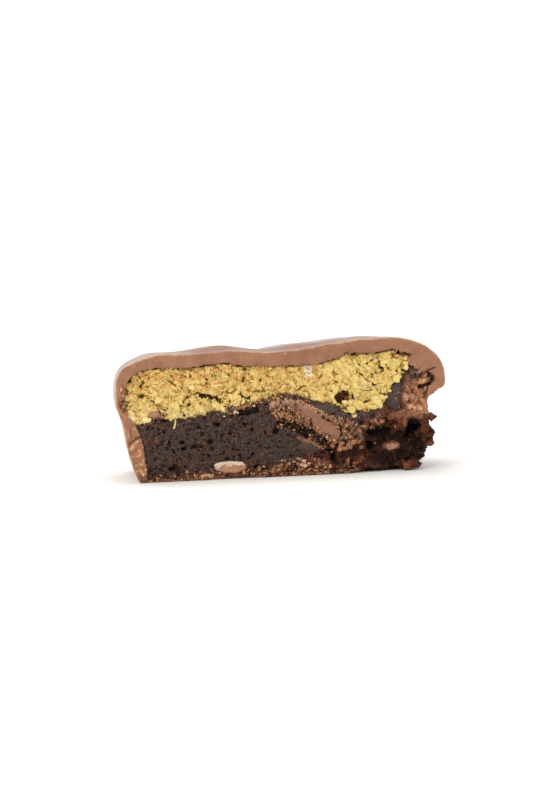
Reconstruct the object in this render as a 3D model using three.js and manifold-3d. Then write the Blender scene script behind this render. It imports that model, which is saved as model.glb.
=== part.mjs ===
// One half of a chocolate-coated pistachio kunafa brownie, cut through the middle.
// Millimetres, +Z up. X runs along the cut, the cut face looks towards -Y and the base lies on Z = 0.
// A milk chocolate shell holds a crumbly kunafa layer on a dark brownie layer. A ribbon of melted chocolate
// and two chocolate chips lie in the brownie. At the right end shell and brownie have broken away.
import * as THREE from "three";
import { ImprovedNoise } from "three/addons/math/ImprovedNoise.js";
import { mergeVertices } from "three/addons/utils/BufferGeometryUtils.js";
import Module from "manifold-3d";

// Driving dimensions of the half bar
const LENGTH = 69.8; // left wall to the overhanging right shoulder
const HEIGHT = 28.3; // cut edge at its highest, over the right end
const DEPTH = 35; // cut face to the back wall
const FILM = 0.8; // chocolate under the base
const BACK_WALL = 2.4; // chocolate on the back wall
const EDGE_RADIUS = 6.5; // rounding of the back edges of the bar
const EDGE_DROP = 0.85; // height that the back edge loses for each millimetre that it pulls in
const NARROWING = 0.013; // share of its length that the bar loses from the cut to the back
const CROWN = 0.7; // how much the top rises behind the pressed-down cut edge
const CROWN_REACH = 8; // distance from the cut over which it rises
const GAP = 0.3; // clearance between neighbouring pieces
const OVERHANG = 2; // how far raw bodies stand in front of the cut before it is made

const FRONT = -DEPTH / 2;
const BACK = DEPTH / 2;
const HALF_LENGTH = LENGTH / 2;
const FILLING_BACK = BACK - BACK_WALL;
const FILLING_RADIUS = EDGE_RADIUS - BACK_WALL;

// Rounder places along the top: where they are, how much higher, and how wide
const SWELLS = [
  { x: -14, rise: 0.8, width: 5 },
  { x: 2.5, rise: 0.5, width: 4 },
];

// Outline of the shell at the cut, from the base's left corner over the top to its right corner, as [x, z]
const SHELL_ARCH = [
  [-30.4, 0], [-31.6, 2.6], [-32.5, 6], [-33.1, 9.5], [-33.6, 12.3], [-34.4, 14.8], [-34.8, 16.8],
  [-34.9, 19], [-34.6, 21], [-34.1, 22.5], [-33.2, 23.6], [-31.7, 24.5], [-29.8, 25.3],
  [-27.5, 26], [-24.4, 26.3], [-16.4, 26.3], [-10.8, 26.7], [-4.5, 26.2], [1.4, 26.3],
  [8.9, 27.3], [15.4, 28], [23.2, HEIGHT], [27, 27.9], [29.9, 26.9], [31.9, 25.6], [33.4, 24.2],
  [34.5, 22.2], [34.9, 20], [34.8, 18], [34.4, 13], [33.6, 6], [31, 0],
];

// Outline of the filling at the cut, measured the same way, with a torn lower right end
const FILLING_ARCH = [
  [-28.9, FILM], [-29.2, 5], [-29.8, 9], [-30.8, 11.7], [-32.2, 13.4], [-32.9, 15.8], [-32.8, 18.6],
  [-32.2, 21.2], [-30.2, 22.7], [-27.4, 23.5], [-19.6, 23.5], [-12.7, 24.2], [-8.8, 23.6],
  [0.6, 23.1], [8.1, 23.5], [14.2, 25.3], [19.3, 25.2], [23.9, 25.9], [25.9, 24.7],
  [27.3, 22.6], [29.3, 21.4], [31.8, 20.6], [32.7, 19.2], [31.4, 17.6], [30.8, 15.5],
  [30.9, 12.5], [31.6, 10], [32.4, 8], [32, 5], [30.4, 2.6], [29, FILM],
];

// Height of the border between kunafa and brownie along the cut, as [x, z]
const BORDER = [
  [-36, 11.3], [-30.5, 12], [-25.8, 13.2], [-21, 12.5], [-16.1, 13.8], [-13.1, 14.2], [-10.1, 15.3],
  [-4.1, 16], [0.4, 17.1], [3.9, 16.5], [9.8, 14.8], [11.8, 13.4], [14.3, 12], [15.9, 13.3],
  [21, 13.8], [23.1, 17.7], [24.7, 19.2], [26.4, 21.2], [27.6, 26], [30, 31], [36, 31],
];

// Ribbon of melted chocolate in the brownie: upper side from left to right, then the lower side back
const RIBBON = [
  [-2.9, 14.7], [-1.1, 15.7], [1.4, 15.7], [3.8, 15], [6.8, 13.6], [9.8, 12], [12.8, 10.8],
  [15.3, 9.8], [16.2, 8.4], [14.8, 6.6], [12.5, 5.6], [10.5, 6.3], [8, 7.9], [5.6, 9.6],
  [2.7, 11.1], [0, 12], [-2.4, 12.8],
];
const RIBBON_DRIFT = 2.5; // how far it sinks towards the back
const RIBBON_BACK = FILLING_BACK - EDGE_RADIUS;

// Cracks in the cut face, as centre lines with a width and a depth
const KUNAFA_CRACKS = [
  {
    line: [[-20.8, 16.5], [-18.2, 17.6], [-14, 16.8], [-11.6, 17.6], [-8.1, 17], [-3, 18.3], [1.1, 19.4]],
    width: 0.7,
    depth: 1.8,
  },
  { line: [[-27, 17], [-25.2, 15.8], [-23.4, 14.6]], width: 0.6, depth: 1.4 },
  { line: [[14.6, 23.6], [16.6, 21.8], [18, 20.2]], width: 0.5, depth: 1.2 },
  { line: [[18.2, 19.4], [20.4, 18.2], [23, 17.8]], width: 0.5, depth: 1.2 },
];
const BROWNIE_CRACKS = [
  {
    line: [[-1.6, 11.2], [0.5, 10.3], [3, 9.2], [5.6, 7.8], [7.9, 6], [9.9, 4.2]],
    width: 1.3,
    depth: 2.8,
  },
  { line: [[-9.8, 14.4], [-7.4, 14.7], [-5.2, 15]], width: 0.7, depth: 1.6 },
];

// Rough lumps, each with a centre, radii, the roughness of its surface and how finely it is divided.
// First the pits and the torn places, then what stands in the brownie.
const KUNAFA_PITS = [
  { centre: [12.6, FRONT + 0.4, 16.3], radii: [1.4, 2.4, 1.3], rough: 0.5, detail: 2 },
  { centre: [-27.9, FRONT, 17.5], radii: [1, 1.2, 0.6], rough: 0.4, detail: 1 },
  { centre: [-31.6, FRONT, 20.8], radii: [0.5, 1.2, 0.7], rough: 0.4, detail: 1 },
];
const TORN_HOLLOWS = [
  { centre: [24.6, FRONT - 0.6, 5.2], radii: [9, 5.4, 5.2], rough: 0.32, detail: 4 },
  { centre: [27.6, FRONT + 5, 8.8], radii: [1.7, 3.4, 1.8], rough: 0.3, detail: 2 },
  { centre: [31.5, FRONT - 0.5, 3], radii: [3, 4.5, 4.2], rough: 0.4, detail: 2 },
];
const TORN_WALL = { centre: [35.2, FRONT - 0.5, 5.4], radii: [8, 18, 12], rough: 0.18, detail: 9 };
const OVERHANG_CORNER = { centre: [35.6, FRONT - 0.5, 16.8], radii: [1.6, 17, 2.2], rough: 0.1, detail: 4 };
const TORN_FILM = { centre: [27, FRONT - 1, 0], radii: [13, 9, 1.4], rough: 0.24, detail: 6 };
const FILM_NICK = { centre: [-10.5, FRONT - 0.4, -0.1], radii: [5.4, 2, 1.3], rough: 0.4, detail: 3 };
const BASE_CHIP = { centre: [-11.7, FRONT + 0.6, 2.6], radii: [3.3, 2.4, 1.05], rough: 0.1, detail: 2 };
const TORN_CHIP = { centre: [23.7, FRONT + 4.6, 5.2], radii: [2.1, 1.5, 0.95], rough: 0.1, detail: 2 };
const SPIKE = { centre: [31.6, FRONT + 2, 11.2], radii: [1.7, 1, 0.6], rough: 0.3, detail: 1 };

// Crumbs that stand out of the cut face: how many, the stretch of x, their radii and how deep they sit
const KUNAFA_CRUMBS = { count: 34, seed: 11, from: -31, to: 22, small: 0.5, large: 1, sunk: 0.2 };
const HOLLOW_CRAGS = { count: 18, seed: 23, from: 17, to: 30.5, small: 0.8, large: 1.7, sunk: 3.6 };
const BROWNIE_CRUMBS = { count: 10, seed: 37, from: 8, to: 30, small: 0.5, large: 0.9, sunk: 0.2 };

// Bumps of each surface: width, height and relief, added together
const KUNAFA_BUMPS = [
  { wide: 1.5, high: 1.3, relief: 0.9 },
  { wide: 4, high: 3, relief: 0.5 },
];
const CUT_BUMPS = [{ wide: 1.2, high: 1.2, relief: 0.3 }];
const TORN_BUMPS = [{ wide: 1.9, high: 1.7, relief: 1.3 }];
const RIBBON_BUMPS = [{ wide: 2.2, high: 1.8, relief: 0.5 }];

const { lerp, clamp, smoothstep, seededRandom } = THREE.MathUtils;
const noise = new ImprovedNoise();
const wasm = await Module();
wasm.setup();

// A closed geometry as a solid that can be joined and cut
function solid(geometry) {
  const bare = geometry.clone();
  bare.deleteAttribute("normal");
  bare.deleteAttribute("uv");
  const merged = mergeVertices(bare, 1e-4);
  return new wasm.Manifold(
    new wasm.Mesh({
      numProp: 3,
      vertProperties: merged.attributes.position.array,
      triVerts: new Uint32Array(merged.index.array),
    }),
  );
}

const joined = (body, others) => others.reduce((whole, other) => whole.add(other), body);
const without = (body, others) => others.reduce((rest, other) => rest.subtract(other), body);

// The largest body of a solid, without scraps that a cut has set loose, as a geometry
function geometryOf(body) {
  const main = body.decompose().sort((a, b) => b.volume() - a.volume())[0];
  const { vertProperties, triVerts } = main.getMesh();
  const geometry = new THREE.BufferGeometry();
  geometry.setAttribute("position", new THREE.BufferAttribute(vertProperties, 3));
  geometry.setIndex(new THREE.BufferAttribute(triVerts, 1));
  geometry.computeVertexNormals();
  return geometry;
}

// Moves every vertex of a geometry to where place(x, y, z) puts it
function moved(geometry, place) {
  const position = geometry.attributes.position;
  for (let i = 0; i < position.count; i++) {
    position.setXYZ(i, ...place(position.getX(i), position.getY(i), position.getZ(i)));
  }
  return geometry;
}

const spline = (points) => new THREE.SplineCurve(points.map(([x, z]) => new THREE.Vector2(x, z)));

// A function that gives the height of a spline at x, for a spline that runs from left to right
function heightAlong(points) {
  const dense = spline(points).getPoints(points.length * 12);
  return (x) => {
    const next = dense.findIndex((p, i) => i > 0 && (p.x >= x || i === dense.length - 1));
    const [a, b] = [dense[next - 1], dense[next]];
    return lerp(a.y, b.y, clamp((x - a.x) / (b.x - a.x), 0, 1));
  };
}
const borderAt = heightAlong(BORDER);

// The sum of some bumps at (x, z) on a face
function relief(bumps, x, z) {
  return bumps.reduce((sum, b, i) => sum + b.relief * noise.noise(x / b.wide, z / b.high, 1.7 + 3.5 * i), 0);
}

// A solid skinned over sections of one outline. sectionAt(x, z, y) bends the outline's point at each depth y.
function skin(arch, around, depths, sectionAt) {
  const flat = arch[0][1];
  const outline = new THREE.Path()
    .moveTo(...arch[0])
    .splineThru(arch.slice(1).map(([x, z]) => new THREE.Vector2(x, z)))
    .lineTo(...arch[0])
    .getSpacedPoints(around)
    .reverse();
  const tube = new THREE.CylinderGeometry(1, 1, 1, around, depths.length - 1);
  return solid(
    moved(tube, (x, y, z) => {
      const turn = (Math.atan2(x, z) / (2 * Math.PI) + 1) % 1;
      const rim = outline[Math.round(turn * around) % around];
      const share = Math.round(Math.hypot(x, z));
      const depth = depths[Math.round((0.5 - y) * (depths.length - 1))];
      const height = Math.max(flat, lerp(HEIGHT / 2, rim.y, share));
      const [sx, sz] = sectionAt(rim.x * share, height, depth);
      return [sx, depth, sz];
    }),
  );
}

// Depths of the sections: even down the bar, then closer together round the back edge
function depthsTo(back, radius, along, round) {
  const straight = back - radius;
  const even = Array.from({ length: along + 1 }, (_, i) => lerp(FRONT, straight, i / along));
  const angles = Array.from({ length: round }, (_, i) => ((i + 1) * Math.PI) / (2 * round));
  const turn = angles.map((angle) => straight + radius * Math.sin(angle));
  return [FRONT - OVERHANG, ...even, ...turn];
}

// How much higher the top is at (x, y) than at the cut
function crownAt(x, y) {
  const swell = SWELLS.reduce((sum, s) => sum + s.rise * Math.exp(-(((x - s.x) / s.width) ** 2)), 0);
  const fade = 1 - Math.min(1, (x / HALF_LENGTH) ** 4);
  return (CROWN + swell) * fade * smoothstep(y, FRONT, FRONT + CROWN_REACH);
}

// The bar's section at depth y: it crowns behind the cut edge and rounds off towards the back
function barSection(x, z, y, back, radius) {
  const past = Math.max(0, y - (back - radius));
  const inset = radius - Math.sqrt(Math.max(0, radius ** 2 - past ** 2));
  const low = 1 - (EDGE_DROP * inset) / HEIGHT;
  const narrow = 1 - (NARROWING * (y - FRONT)) / DEPTH;
  return [x * narrow * (1 - inset / HALF_LENGTH), z * low * (1 + crownAt(x, y) / HEIGHT)];
}

// A box whose cells are moved to fill the space that place(u, v, w) describes, each from 0 to 1
function bentBox(cellsU, cellsV, cellsW, place) {
  const box = new THREE.BoxGeometry(1, 1, 1, cellsU, cellsV, cellsW);
  return solid(moved(box, (x, y, z) => place(x + 0.5, y + 0.5, z + 0.5)));
}

// A lump with a rough surface, from a sphere
function lump({ centre, radii, rough, detail }, grow = 0) {
  const knobs = 2.3;
  const sphere = new THREE.IcosahedronGeometry(1, detail);
  return solid(
    moved(sphere, (...unit) => {
      const reach = 1 + rough * noise.noise(...unit.map((v, axis) => knobs * v + centre[axis]));
      return unit.map((v, axis) => centre[axis] + v * reach * (radii[axis] + grow));
    }),
  );
}

// Crumbs spread along the face by a seeded draw, each between the heights that heightsAt(x) gives
function crumbs({ count, seed, from, to, small, large, sunk }, heightsAt) {
  const draw = (n) => seededRandom(seed * 1000 + n);
  return Array.from({ length: count }, (_, i) => {
    const x = lerp(from, to, (i + draw(4 * i)) / count);
    const z = lerp(...heightsAt(x), draw(4 * i + 1));
    const size = lerp(small, large, draw(4 * i + 2) ** 2);
    const flat = lerp(0.6, 1, draw(4 * i + 3));
    const radii = [size, size, size * flat];
    return lump({ centre: [x, FRONT + size + sunk, z], radii, rough: 0.6, detail: 0 });
  });
}

// A shape drawn on the cut face, pushed back from the front to depth y, sinking by drift on the way
function pushed(shape, y, steps, drift = 0) {
  const depth = y - (FRONT - OVERHANG);
  const body = new THREE.ExtrudeGeometry(shape, { depth, steps, bevelEnabled: false });
  return solid(moved(body, (x, z, along) => [x, y - along, z - (drift * (y - along - FRONT)) / DEPTH]));
}

// A cutter for a crack: a strip round its centre line, pointed at both ends
function crack({ line, width, depth }) {
  const steps = line.length * 2;
  const tip = 0.4; // half the width of the ends, in steps, so that they aren't quite closed
  const middle = spline(line);
  const side = (i, sign) => {
    const p = middle.getPointAt(i / steps);
    const t = middle.getTangentAt(i / steps);
    const half = (sign * width * Math.sin((Math.PI * (i + tip)) / (steps + 2 * tip))) / 2;
    return new THREE.Vector2(p.x - t.y * half, p.y + t.x * half);
  };
  const lower = Array.from({ length: steps + 1 }, (_, i) => side(i, -1));
  const upper = Array.from({ length: steps + 1 }, (_, i) => side(steps - i, 1));
  return pushed(new THREE.Shape([...lower, ...upper]), FRONT + depth, 1);
}

// What lies in front of the cut face between two corners, with the face's relief given by depthAt(x, z)
function cutAway(cell, [x0, z0], [x1, z1], depthAt) {
  const cells = (low, high) => Math.ceil((high - low) / cell);
  return bentBox(cells(x0, x1), 1, cells(z0, z1), (u, v, w) => {
    const x = lerp(x0, x1, u);
    const z = lerp(z0, z1, w);
    return [x, v ? FRONT + Math.max(0, depthAt(x, z)) : FRONT - 2 * OVERHANG, z];
  });
}

// A plain cut at a depth behind the cut face
function plainCut(depth) {
  return cutAway(HALF_LENGTH, [-HALF_LENGTH - 2, -2], [HALF_LENGTH + 2, HEIGHT + 4], () => depth);
}

// Everything below the kunafa's wavy lower border, shifted by lift
function underBorder(lift) {
  const cells = 52;
  const depths = [FRONT - 2 * OVERHANG, FRONT + 0.8, FRONT + 6, BACK];
  return bentBox(cells, depths.length - 1, 1, (u, v, w) => {
    const x = lerp(-HALF_LENGTH - 1, HALF_LENGTH + 1, u);
    const y = depths[Math.round(v * (depths.length - 1))];
    const wave = 0.45 * noise.noise(x / 1.7, y / 6, 3.3) + 0.6 * noise.noise(x / 9, y / 9, 7.1);
    return [x, y, w ? borderAt(x) + wave + lift : -OVERHANG];
  });
}

// The whole filling, grown or shrunk all round, with a rough right end where the wall has gone
function filling(grow) {
  const depths = depthsTo(FILLING_BACK + grow, FILLING_RADIUS, 3, 3);
  return skin(FILLING_ARCH, 64, depths, (x, z, y) => {
    const [sx, sz] = barSection(x, z, y, FILLING_BACK + grow, FILLING_RADIUS);
    const torn = 0.9 * smoothstep(x, 26, 31) * noise.noise(x / 2, y / 2.2, z / 2);
    const middle = HEIGHT / 2;
    return [sx * (1 + grow / HALF_LENGTH) + torn, sz + (grow * (sz - middle)) / middle];
  });
}

// Milk chocolate shell with gentle waves, open at the cut and broken away at the lower right
function makeCoating() {
  const body = skin(SHELL_ARCH, 76, depthsTo(BACK, EDGE_RADIUS, 6, 5), (x, z, y) => {
    const [sx, sz] = barSection(x, z, y, BACK, EDGE_RADIUS);
    const free = smoothstep(z, 0.5, 6) * smoothstep(y, FRONT, FRONT + 6);
    const wave = 0.35 * noise.noise(x / 8, y / 7, z / 9) + 0.12 * noise.noise(x / 3.5, y / 4, z / 4 + 8);
    return [sx * (1 + (free * wave) / HALF_LENGTH), sz * (1 + (free * wave) / (HEIGHT / 2))];
  });
  const torn = [TORN_WALL, OVERHANG_CORNER, TORN_FILM, FILM_NICK].map((place) => lump(place));
  return without(body, [filling(GAP / 2), plainCut(0), ...torn]);
}

// Crumbly kunafa with cracks, a hole and crumbs on its cut face
function makeKunafa() {
  const body = filling(-GAP / 2).subtract(underBorder(GAP / 2));
  const face = cutAway(1.2, [-35, 10], [30, 28], (x, z) => 0.75 + relief(KUNAFA_BUMPS, x, z));
  const bits = crumbs(KUNAFA_CRUMBS, (x) => [borderAt(x) + 0.8, 22.6]);
  const pits = KUNAFA_PITS.map((pit) => lump(pit));
  return without(joined(without(body, [face, ...KUNAFA_CRACKS.map(crack)]), bits), pits);
}

// Ribbon of melted chocolate that runs back through the brownie
function makeRibbon(grow) {
  const count = 30;
  const outline = spline([...RIBBON, RIBBON[0]]);
  const points = Array.from({ length: count }, (_, i) => {
    const along = outline.getTangentAt(i / count);
    const outward = new THREE.Vector2(-along.y, along.x);
    return outline.getPointAt(i / count).add(outward.multiplyScalar(grow));
  });
  return pushed(new THREE.Shape(points), RIBBON_BACK + grow, 3, RIBBON_DRIFT);
}

// Dark brownie: smooth from the knife on the left, craggy and torn hollow on the right
function makeBrownie() {
  const body = filling(-GAP / 2).intersect(underBorder(-GAP / 2));
  const face = cutAway(1.35, [-35, -1], [35, 24], (x, z) => {
    const torn = smoothstep(x, 6, 14) * (0.5 + relief(TORN_BUMPS, x, z));
    return 0.3 + relief(CUT_BUMPS, x, z) + torn;
  });
  const hollows = TORN_HOLLOWS.map((hollow) => lump(hollow));
  const crags = crumbs(HOLLOW_CRAGS, () => [2, 9.5]);
  const bits = crumbs(BROWNIE_CRUMBS, (x) => (x < 16 ? [2, 6] : [11, 14]));
  const cut = joined(without(body, [face, ...BROWNIE_CRACKS.map(crack), ...hollows]), [...crags, ...bits]);
  const whole = cut.intersect(filling(-GAP / 2)).add(lump(SPIKE));
  return without(whole, [makeRibbon(GAP), lump(BASE_CHIP, GAP), lump(TORN_CHIP, GAP)]);
}

// Materials in the colours of the real thing
const milkChocolate = { color: 0xa9795c, roughness: 0.45 };
const pistachio = { color: 0xd1ad62, roughness: 0.9 };
const darkCake = { color: 0x46342d, roughness: 0.85 };
const meltedChocolate = { color: 0x8c6045, roughness: 0.6 };
const chipChocolate = { color: 0xb58e72, roughness: 0.55 };

const half = new THREE.Group();
function addPiece(name, body, look) {
  const mesh = new THREE.Mesh(geometryOf(body), new THREE.MeshStandardMaterial({ ...look, metalness: 0 }));
  mesh.name = name;
  half.add(mesh);
}

const ribbonFace = cutAway(1, [-5, 3], [18, 17], (x, z) => 0.3 + relief(RIBBON_BUMPS, x, z));
addPiece("chocolate_coating", makeCoating(), milkChocolate);
addPiece("kunafa_layer", makeKunafa(), pistachio);
addPiece("brownie_layer", makeBrownie(), darkCake);
addPiece("chocolate_ribbon", makeRibbon(0).subtract(ribbonFace), meltedChocolate);
addPiece("chip_at_base", lump(BASE_CHIP).subtract(plainCut(0.15)), chipChocolate);
addPiece("chip_in_hollow", lump(TORN_CHIP), chipChocolate);

export default half;
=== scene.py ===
import math
import random

import bmesh
import bpy
import numpy as np
from mathutils import Euler, Matrix, Vector, noise
from mathutils.bvhtree import BVHTree


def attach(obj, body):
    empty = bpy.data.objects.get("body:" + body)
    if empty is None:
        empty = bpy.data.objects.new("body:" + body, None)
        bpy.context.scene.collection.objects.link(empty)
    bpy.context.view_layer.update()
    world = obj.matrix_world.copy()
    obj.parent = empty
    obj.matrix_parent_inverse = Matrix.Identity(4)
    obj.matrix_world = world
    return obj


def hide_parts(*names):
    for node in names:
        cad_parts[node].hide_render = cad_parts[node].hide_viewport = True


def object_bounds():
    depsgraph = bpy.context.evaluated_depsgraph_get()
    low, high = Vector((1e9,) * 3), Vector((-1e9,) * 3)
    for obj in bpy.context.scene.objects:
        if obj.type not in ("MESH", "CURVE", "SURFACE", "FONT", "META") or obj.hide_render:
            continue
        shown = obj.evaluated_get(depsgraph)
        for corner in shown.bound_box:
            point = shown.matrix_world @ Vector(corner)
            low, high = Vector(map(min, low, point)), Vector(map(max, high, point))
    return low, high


noise.seed_set(5)  # or else the noise vectors would start from the clock
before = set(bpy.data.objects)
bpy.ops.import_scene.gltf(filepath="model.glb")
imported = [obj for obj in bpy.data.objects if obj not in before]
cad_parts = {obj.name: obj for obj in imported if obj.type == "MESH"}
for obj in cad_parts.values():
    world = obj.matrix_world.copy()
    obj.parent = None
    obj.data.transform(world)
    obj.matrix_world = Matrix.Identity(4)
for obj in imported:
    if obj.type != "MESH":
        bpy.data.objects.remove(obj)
cadBox = [list(corner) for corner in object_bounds()]
mm = 0.001
boxStart, boxEnd = (Vector(corner) / mm for corner in cadBox)
front, back = boxStart.y, boxEnd.y
halfLength = (boxEnd.x - boxStart.x) / 2


# Small helpers

def clamp(value, low=0.0, high=1.0):
    return max(low, min(high, value))


def mix(a, b, share):
    return a + (b - a) * share


def ease(value, start, end):
    t = clamp((value - start) / (end - start))
    return t * t * (3 - 2 * t)


def linear(code):
    channels = [int(code[i:i + 2], 16) / 255 for i in (1, 3, 5)]
    return (*(c / 12.92 if c <= 0.04045 else ((c + 0.055) / 1.055) ** 2.4 for c in channels), 1)


def inBox(spot, gap=0.02):
    # keeps a spot in the CAD's box, and behind the cut's plane by a gap
    return Vector((clamp(spot[0], boxStart.x, boxEnd.x), clamp(spot[1], front + gap, back),
                   clamp(spot[2], 0, boxEnd.z)))


def chance(place):
    # a steady random value for a place, the same in every run
    return noise.cell(place * 7.31 + Vector((0, 3.1, 1.7))) * 0.5 + 0.5


def near(x, z, places):
    # how far inside some soft ellipses a spot on the cut face lies, from 0 to 1
    best = 0.0
    for cx, cz, rx, rz in places:
        if abs(x - cx) < rx * 1.15 and abs(z - cz) < rz * 1.15:
            best = max(best, 1 - ease(math.hypot((x - cx) / rx, (z - cz) / rz), 0.7, 1.15))
    return best


def stray(spot, reach, size, shift):
    # x and z of a spot, moved by up to about the reach, so that what is drawn there comes out ragged
    return (spot.x + reach * noise.noise(spot / size),
            spot.z + reach * noise.noise(spot / size + Vector(shift)))


def billow(spot, sizes):
    # rounded crumbs with creases between them
    return sum(height * abs(noise.noise(spot / size)) for size, height in sizes)


def onLine(points, x):
    # the second value of a line through points, at x
    for (x0, z0), (x1, z1) in zip(points, points[1:]):
        if x < x1:
            break
    return mix(z0, z1, clamp((x - x0) / (x1 - x0)))


def awayFrom(points, x, z):
    # how far a spot on the cut face is from a line through points
    nearest = 99.0
    for (x0, z0), (x1, z1) in zip(points, points[1:]):
        run = clamp(((x - x0) * (x1 - x0) + (z - z0) * (z1 - z0)) / ((x1 - x0) ** 2 + (z1 - z0) ** 2))
        nearest = min(nearest, math.hypot(x - mix(x0, x1, run), z - mix(z0, z1, run)))
    return nearest


def valley(spot, lines):
    # how deep a spot lies in cracks that are given as lines, each with half its width and its depth
    deepest = 0.0
    for points, half, depth in lines:
        if points[0][0] - 0.6 < spot.x < points[-1][0] + 0.6:
            away = awayFrom(points, spot.x, spot.z) + 0.3 * noise.noise(spot / 0.6)
            deepest = max(deepest, depth * (1 - ease(away, half * 0.5, half * 1.3)))
    return deepest


def smoothPath(points, count):
    # a Catmull-Rom curve through the points, cut into equal lengths
    knots = [Vector(points[0]), *map(Vector, points), Vector(points[-1])]
    dense = []
    for a, b, c, d in zip(knots, knots[1:], knots[2:], knots[3:]):
        for step in range(10):
            t = step / 10
            dense.append(0.5 * (2 * b + (c - a) * t + (2 * a - 5 * b + 4 * c - d) * t * t
                                + (3 * b - a - 3 * c + d) * t ** 3))
    dense = np.array([*map(tuple, dense), points[-1]])
    run = np.concatenate([[0], np.cumsum(np.hypot(*np.diff(dense, axis=0).T))])
    even = np.linspace(0, run[-1], count + 1)
    return np.column_stack([np.interp(even, run, dense[:, 0]), np.interp(even, run, dense[:, 1])])


def cadCopy(name):
    bm = bmesh.new()
    bm.from_mesh(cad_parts[name].data)
    bmesh.ops.remove_doubles(bm, verts=bm.verts, dist=1e-6)
    bmesh.ops.scale(bm, verts=bm.verts, vec=(1 / mm,) * 3)
    return bm


def toObject(name, bm, smooth=True):
    mesh = bpy.data.meshes.new(name)
    bm.to_mesh(mesh)
    bm.free()
    mesh.polygons.foreach_set("use_smooth", [smooth] * len(mesh.polygons))
    piece = bpy.data.objects.new(name, mesh)
    bpy.context.scene.collection.objects.link(piece)
    return piece


def addTo(whole, part):
    mesh = bpy.data.meshes.new("part")
    part.to_mesh(mesh)
    part.free()
    whole.from_mesh(mesh)
    bpy.data.meshes.remove(mesh)


def withModifier(bm, kind, tool=None, **settings):
    # runs one modifier on a bmesh and gives the result as a new one
    piece = toObject("working", bm)
    modifier = piece.modifiers.new(kind, kind)
    for name, value in settings.items():
        setattr(modifier, name, value)
    if tool:
        modifier.object = tool
    evaluated = piece.evaluated_get(bpy.context.evaluated_depsgraph_get())
    made = bmesh.new()
    made.from_mesh(evaluated.to_mesh())
    bpy.data.objects.remove(piece)
    return made


def carved(bm, cutter, operation="DIFFERENCE"):
    tool = toObject("cutter", cutter)
    made = withModifier(bm, "BOOLEAN", tool, operation=operation, solver="EXACT", material_mode="TRANSFER")
    bpy.data.objects.remove(tool)
    return made


def remeshed(bm, voxel):
    return withModifier(bm, "REMESH", mode="VOXEL", voxel_size=voxel)


def sliced(bm, place, way):
    # adds edges to all faces along a plane
    bmesh.ops.bisect_plane(bm, geom=[*bm.verts, *bm.edges, *bm.faces], plane_co=place, plane_no=way)


def behind(spot, depths):
    # how far a spot lies behind the back of the front block
    return spot.y - front - onLine(depths, spot.x)


def frontBlock(depths):
    # a block over the cut face that reaches back to the given depths, as (x, depth)
    bm = bmesh.new()
    bmesh.ops.create_cube(bm, size=2, matrix=Matrix.Diagonal((halfLength + 5, 1, 50, 1)))
    for x, _ in depths[1:-1]:
        sliced(bm, (x, 0, 0), (1, 0, 0))
    for v in bm.verts:
        v.co.y = front + onLine(depths, v.co.x) if v.co.y > 0 else front - 5
    return bm


def finishPiece(piece, materials, slot, *nodes):
    mesh = piece.data
    mesh.transform(Matrix.Scale(mm, 4))
    for material in materials:
        mesh.materials.append(material)
    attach(piece, "root")
    if nodes:
        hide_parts(*nodes)
    print(piece.name, sum(len(p.vertices) - 2 for p in mesh.polygons), "triangles")


def storeValues(bm, name, values):
    layer = bm.verts.layers.float.get(name) or bm.verts.layers.float.new(name)
    for v, value in zip(bm.verts, values):
        v[layer] = value


def addNode(tree, kind, settings=None, links=None):
    made = tree.nodes.new(kind)
    for name, value in (settings or {}).items():
        if name == "stops":
            ramp = made.color_ramp.elements
            for i, (at, code) in enumerate(value):
                stop = ramp[i] if i < len(ramp) else ramp.new(at)
                stop.position = at
                stop.color = linear(code)
        elif isinstance(name, int) or name in made.inputs:
            made.inputs[name].default_value = value
        else:
            setattr(made, name, value)
    for socket, source in (links or {}).items():
        tree.links.new(source, made.inputs[socket])
    return made


def newMaterial(name):
    material = bpy.data.materials.new(name)
    material.use_nodes = True
    tree = material.node_tree
    tree.nodes.clear()
    return material, tree


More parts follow.
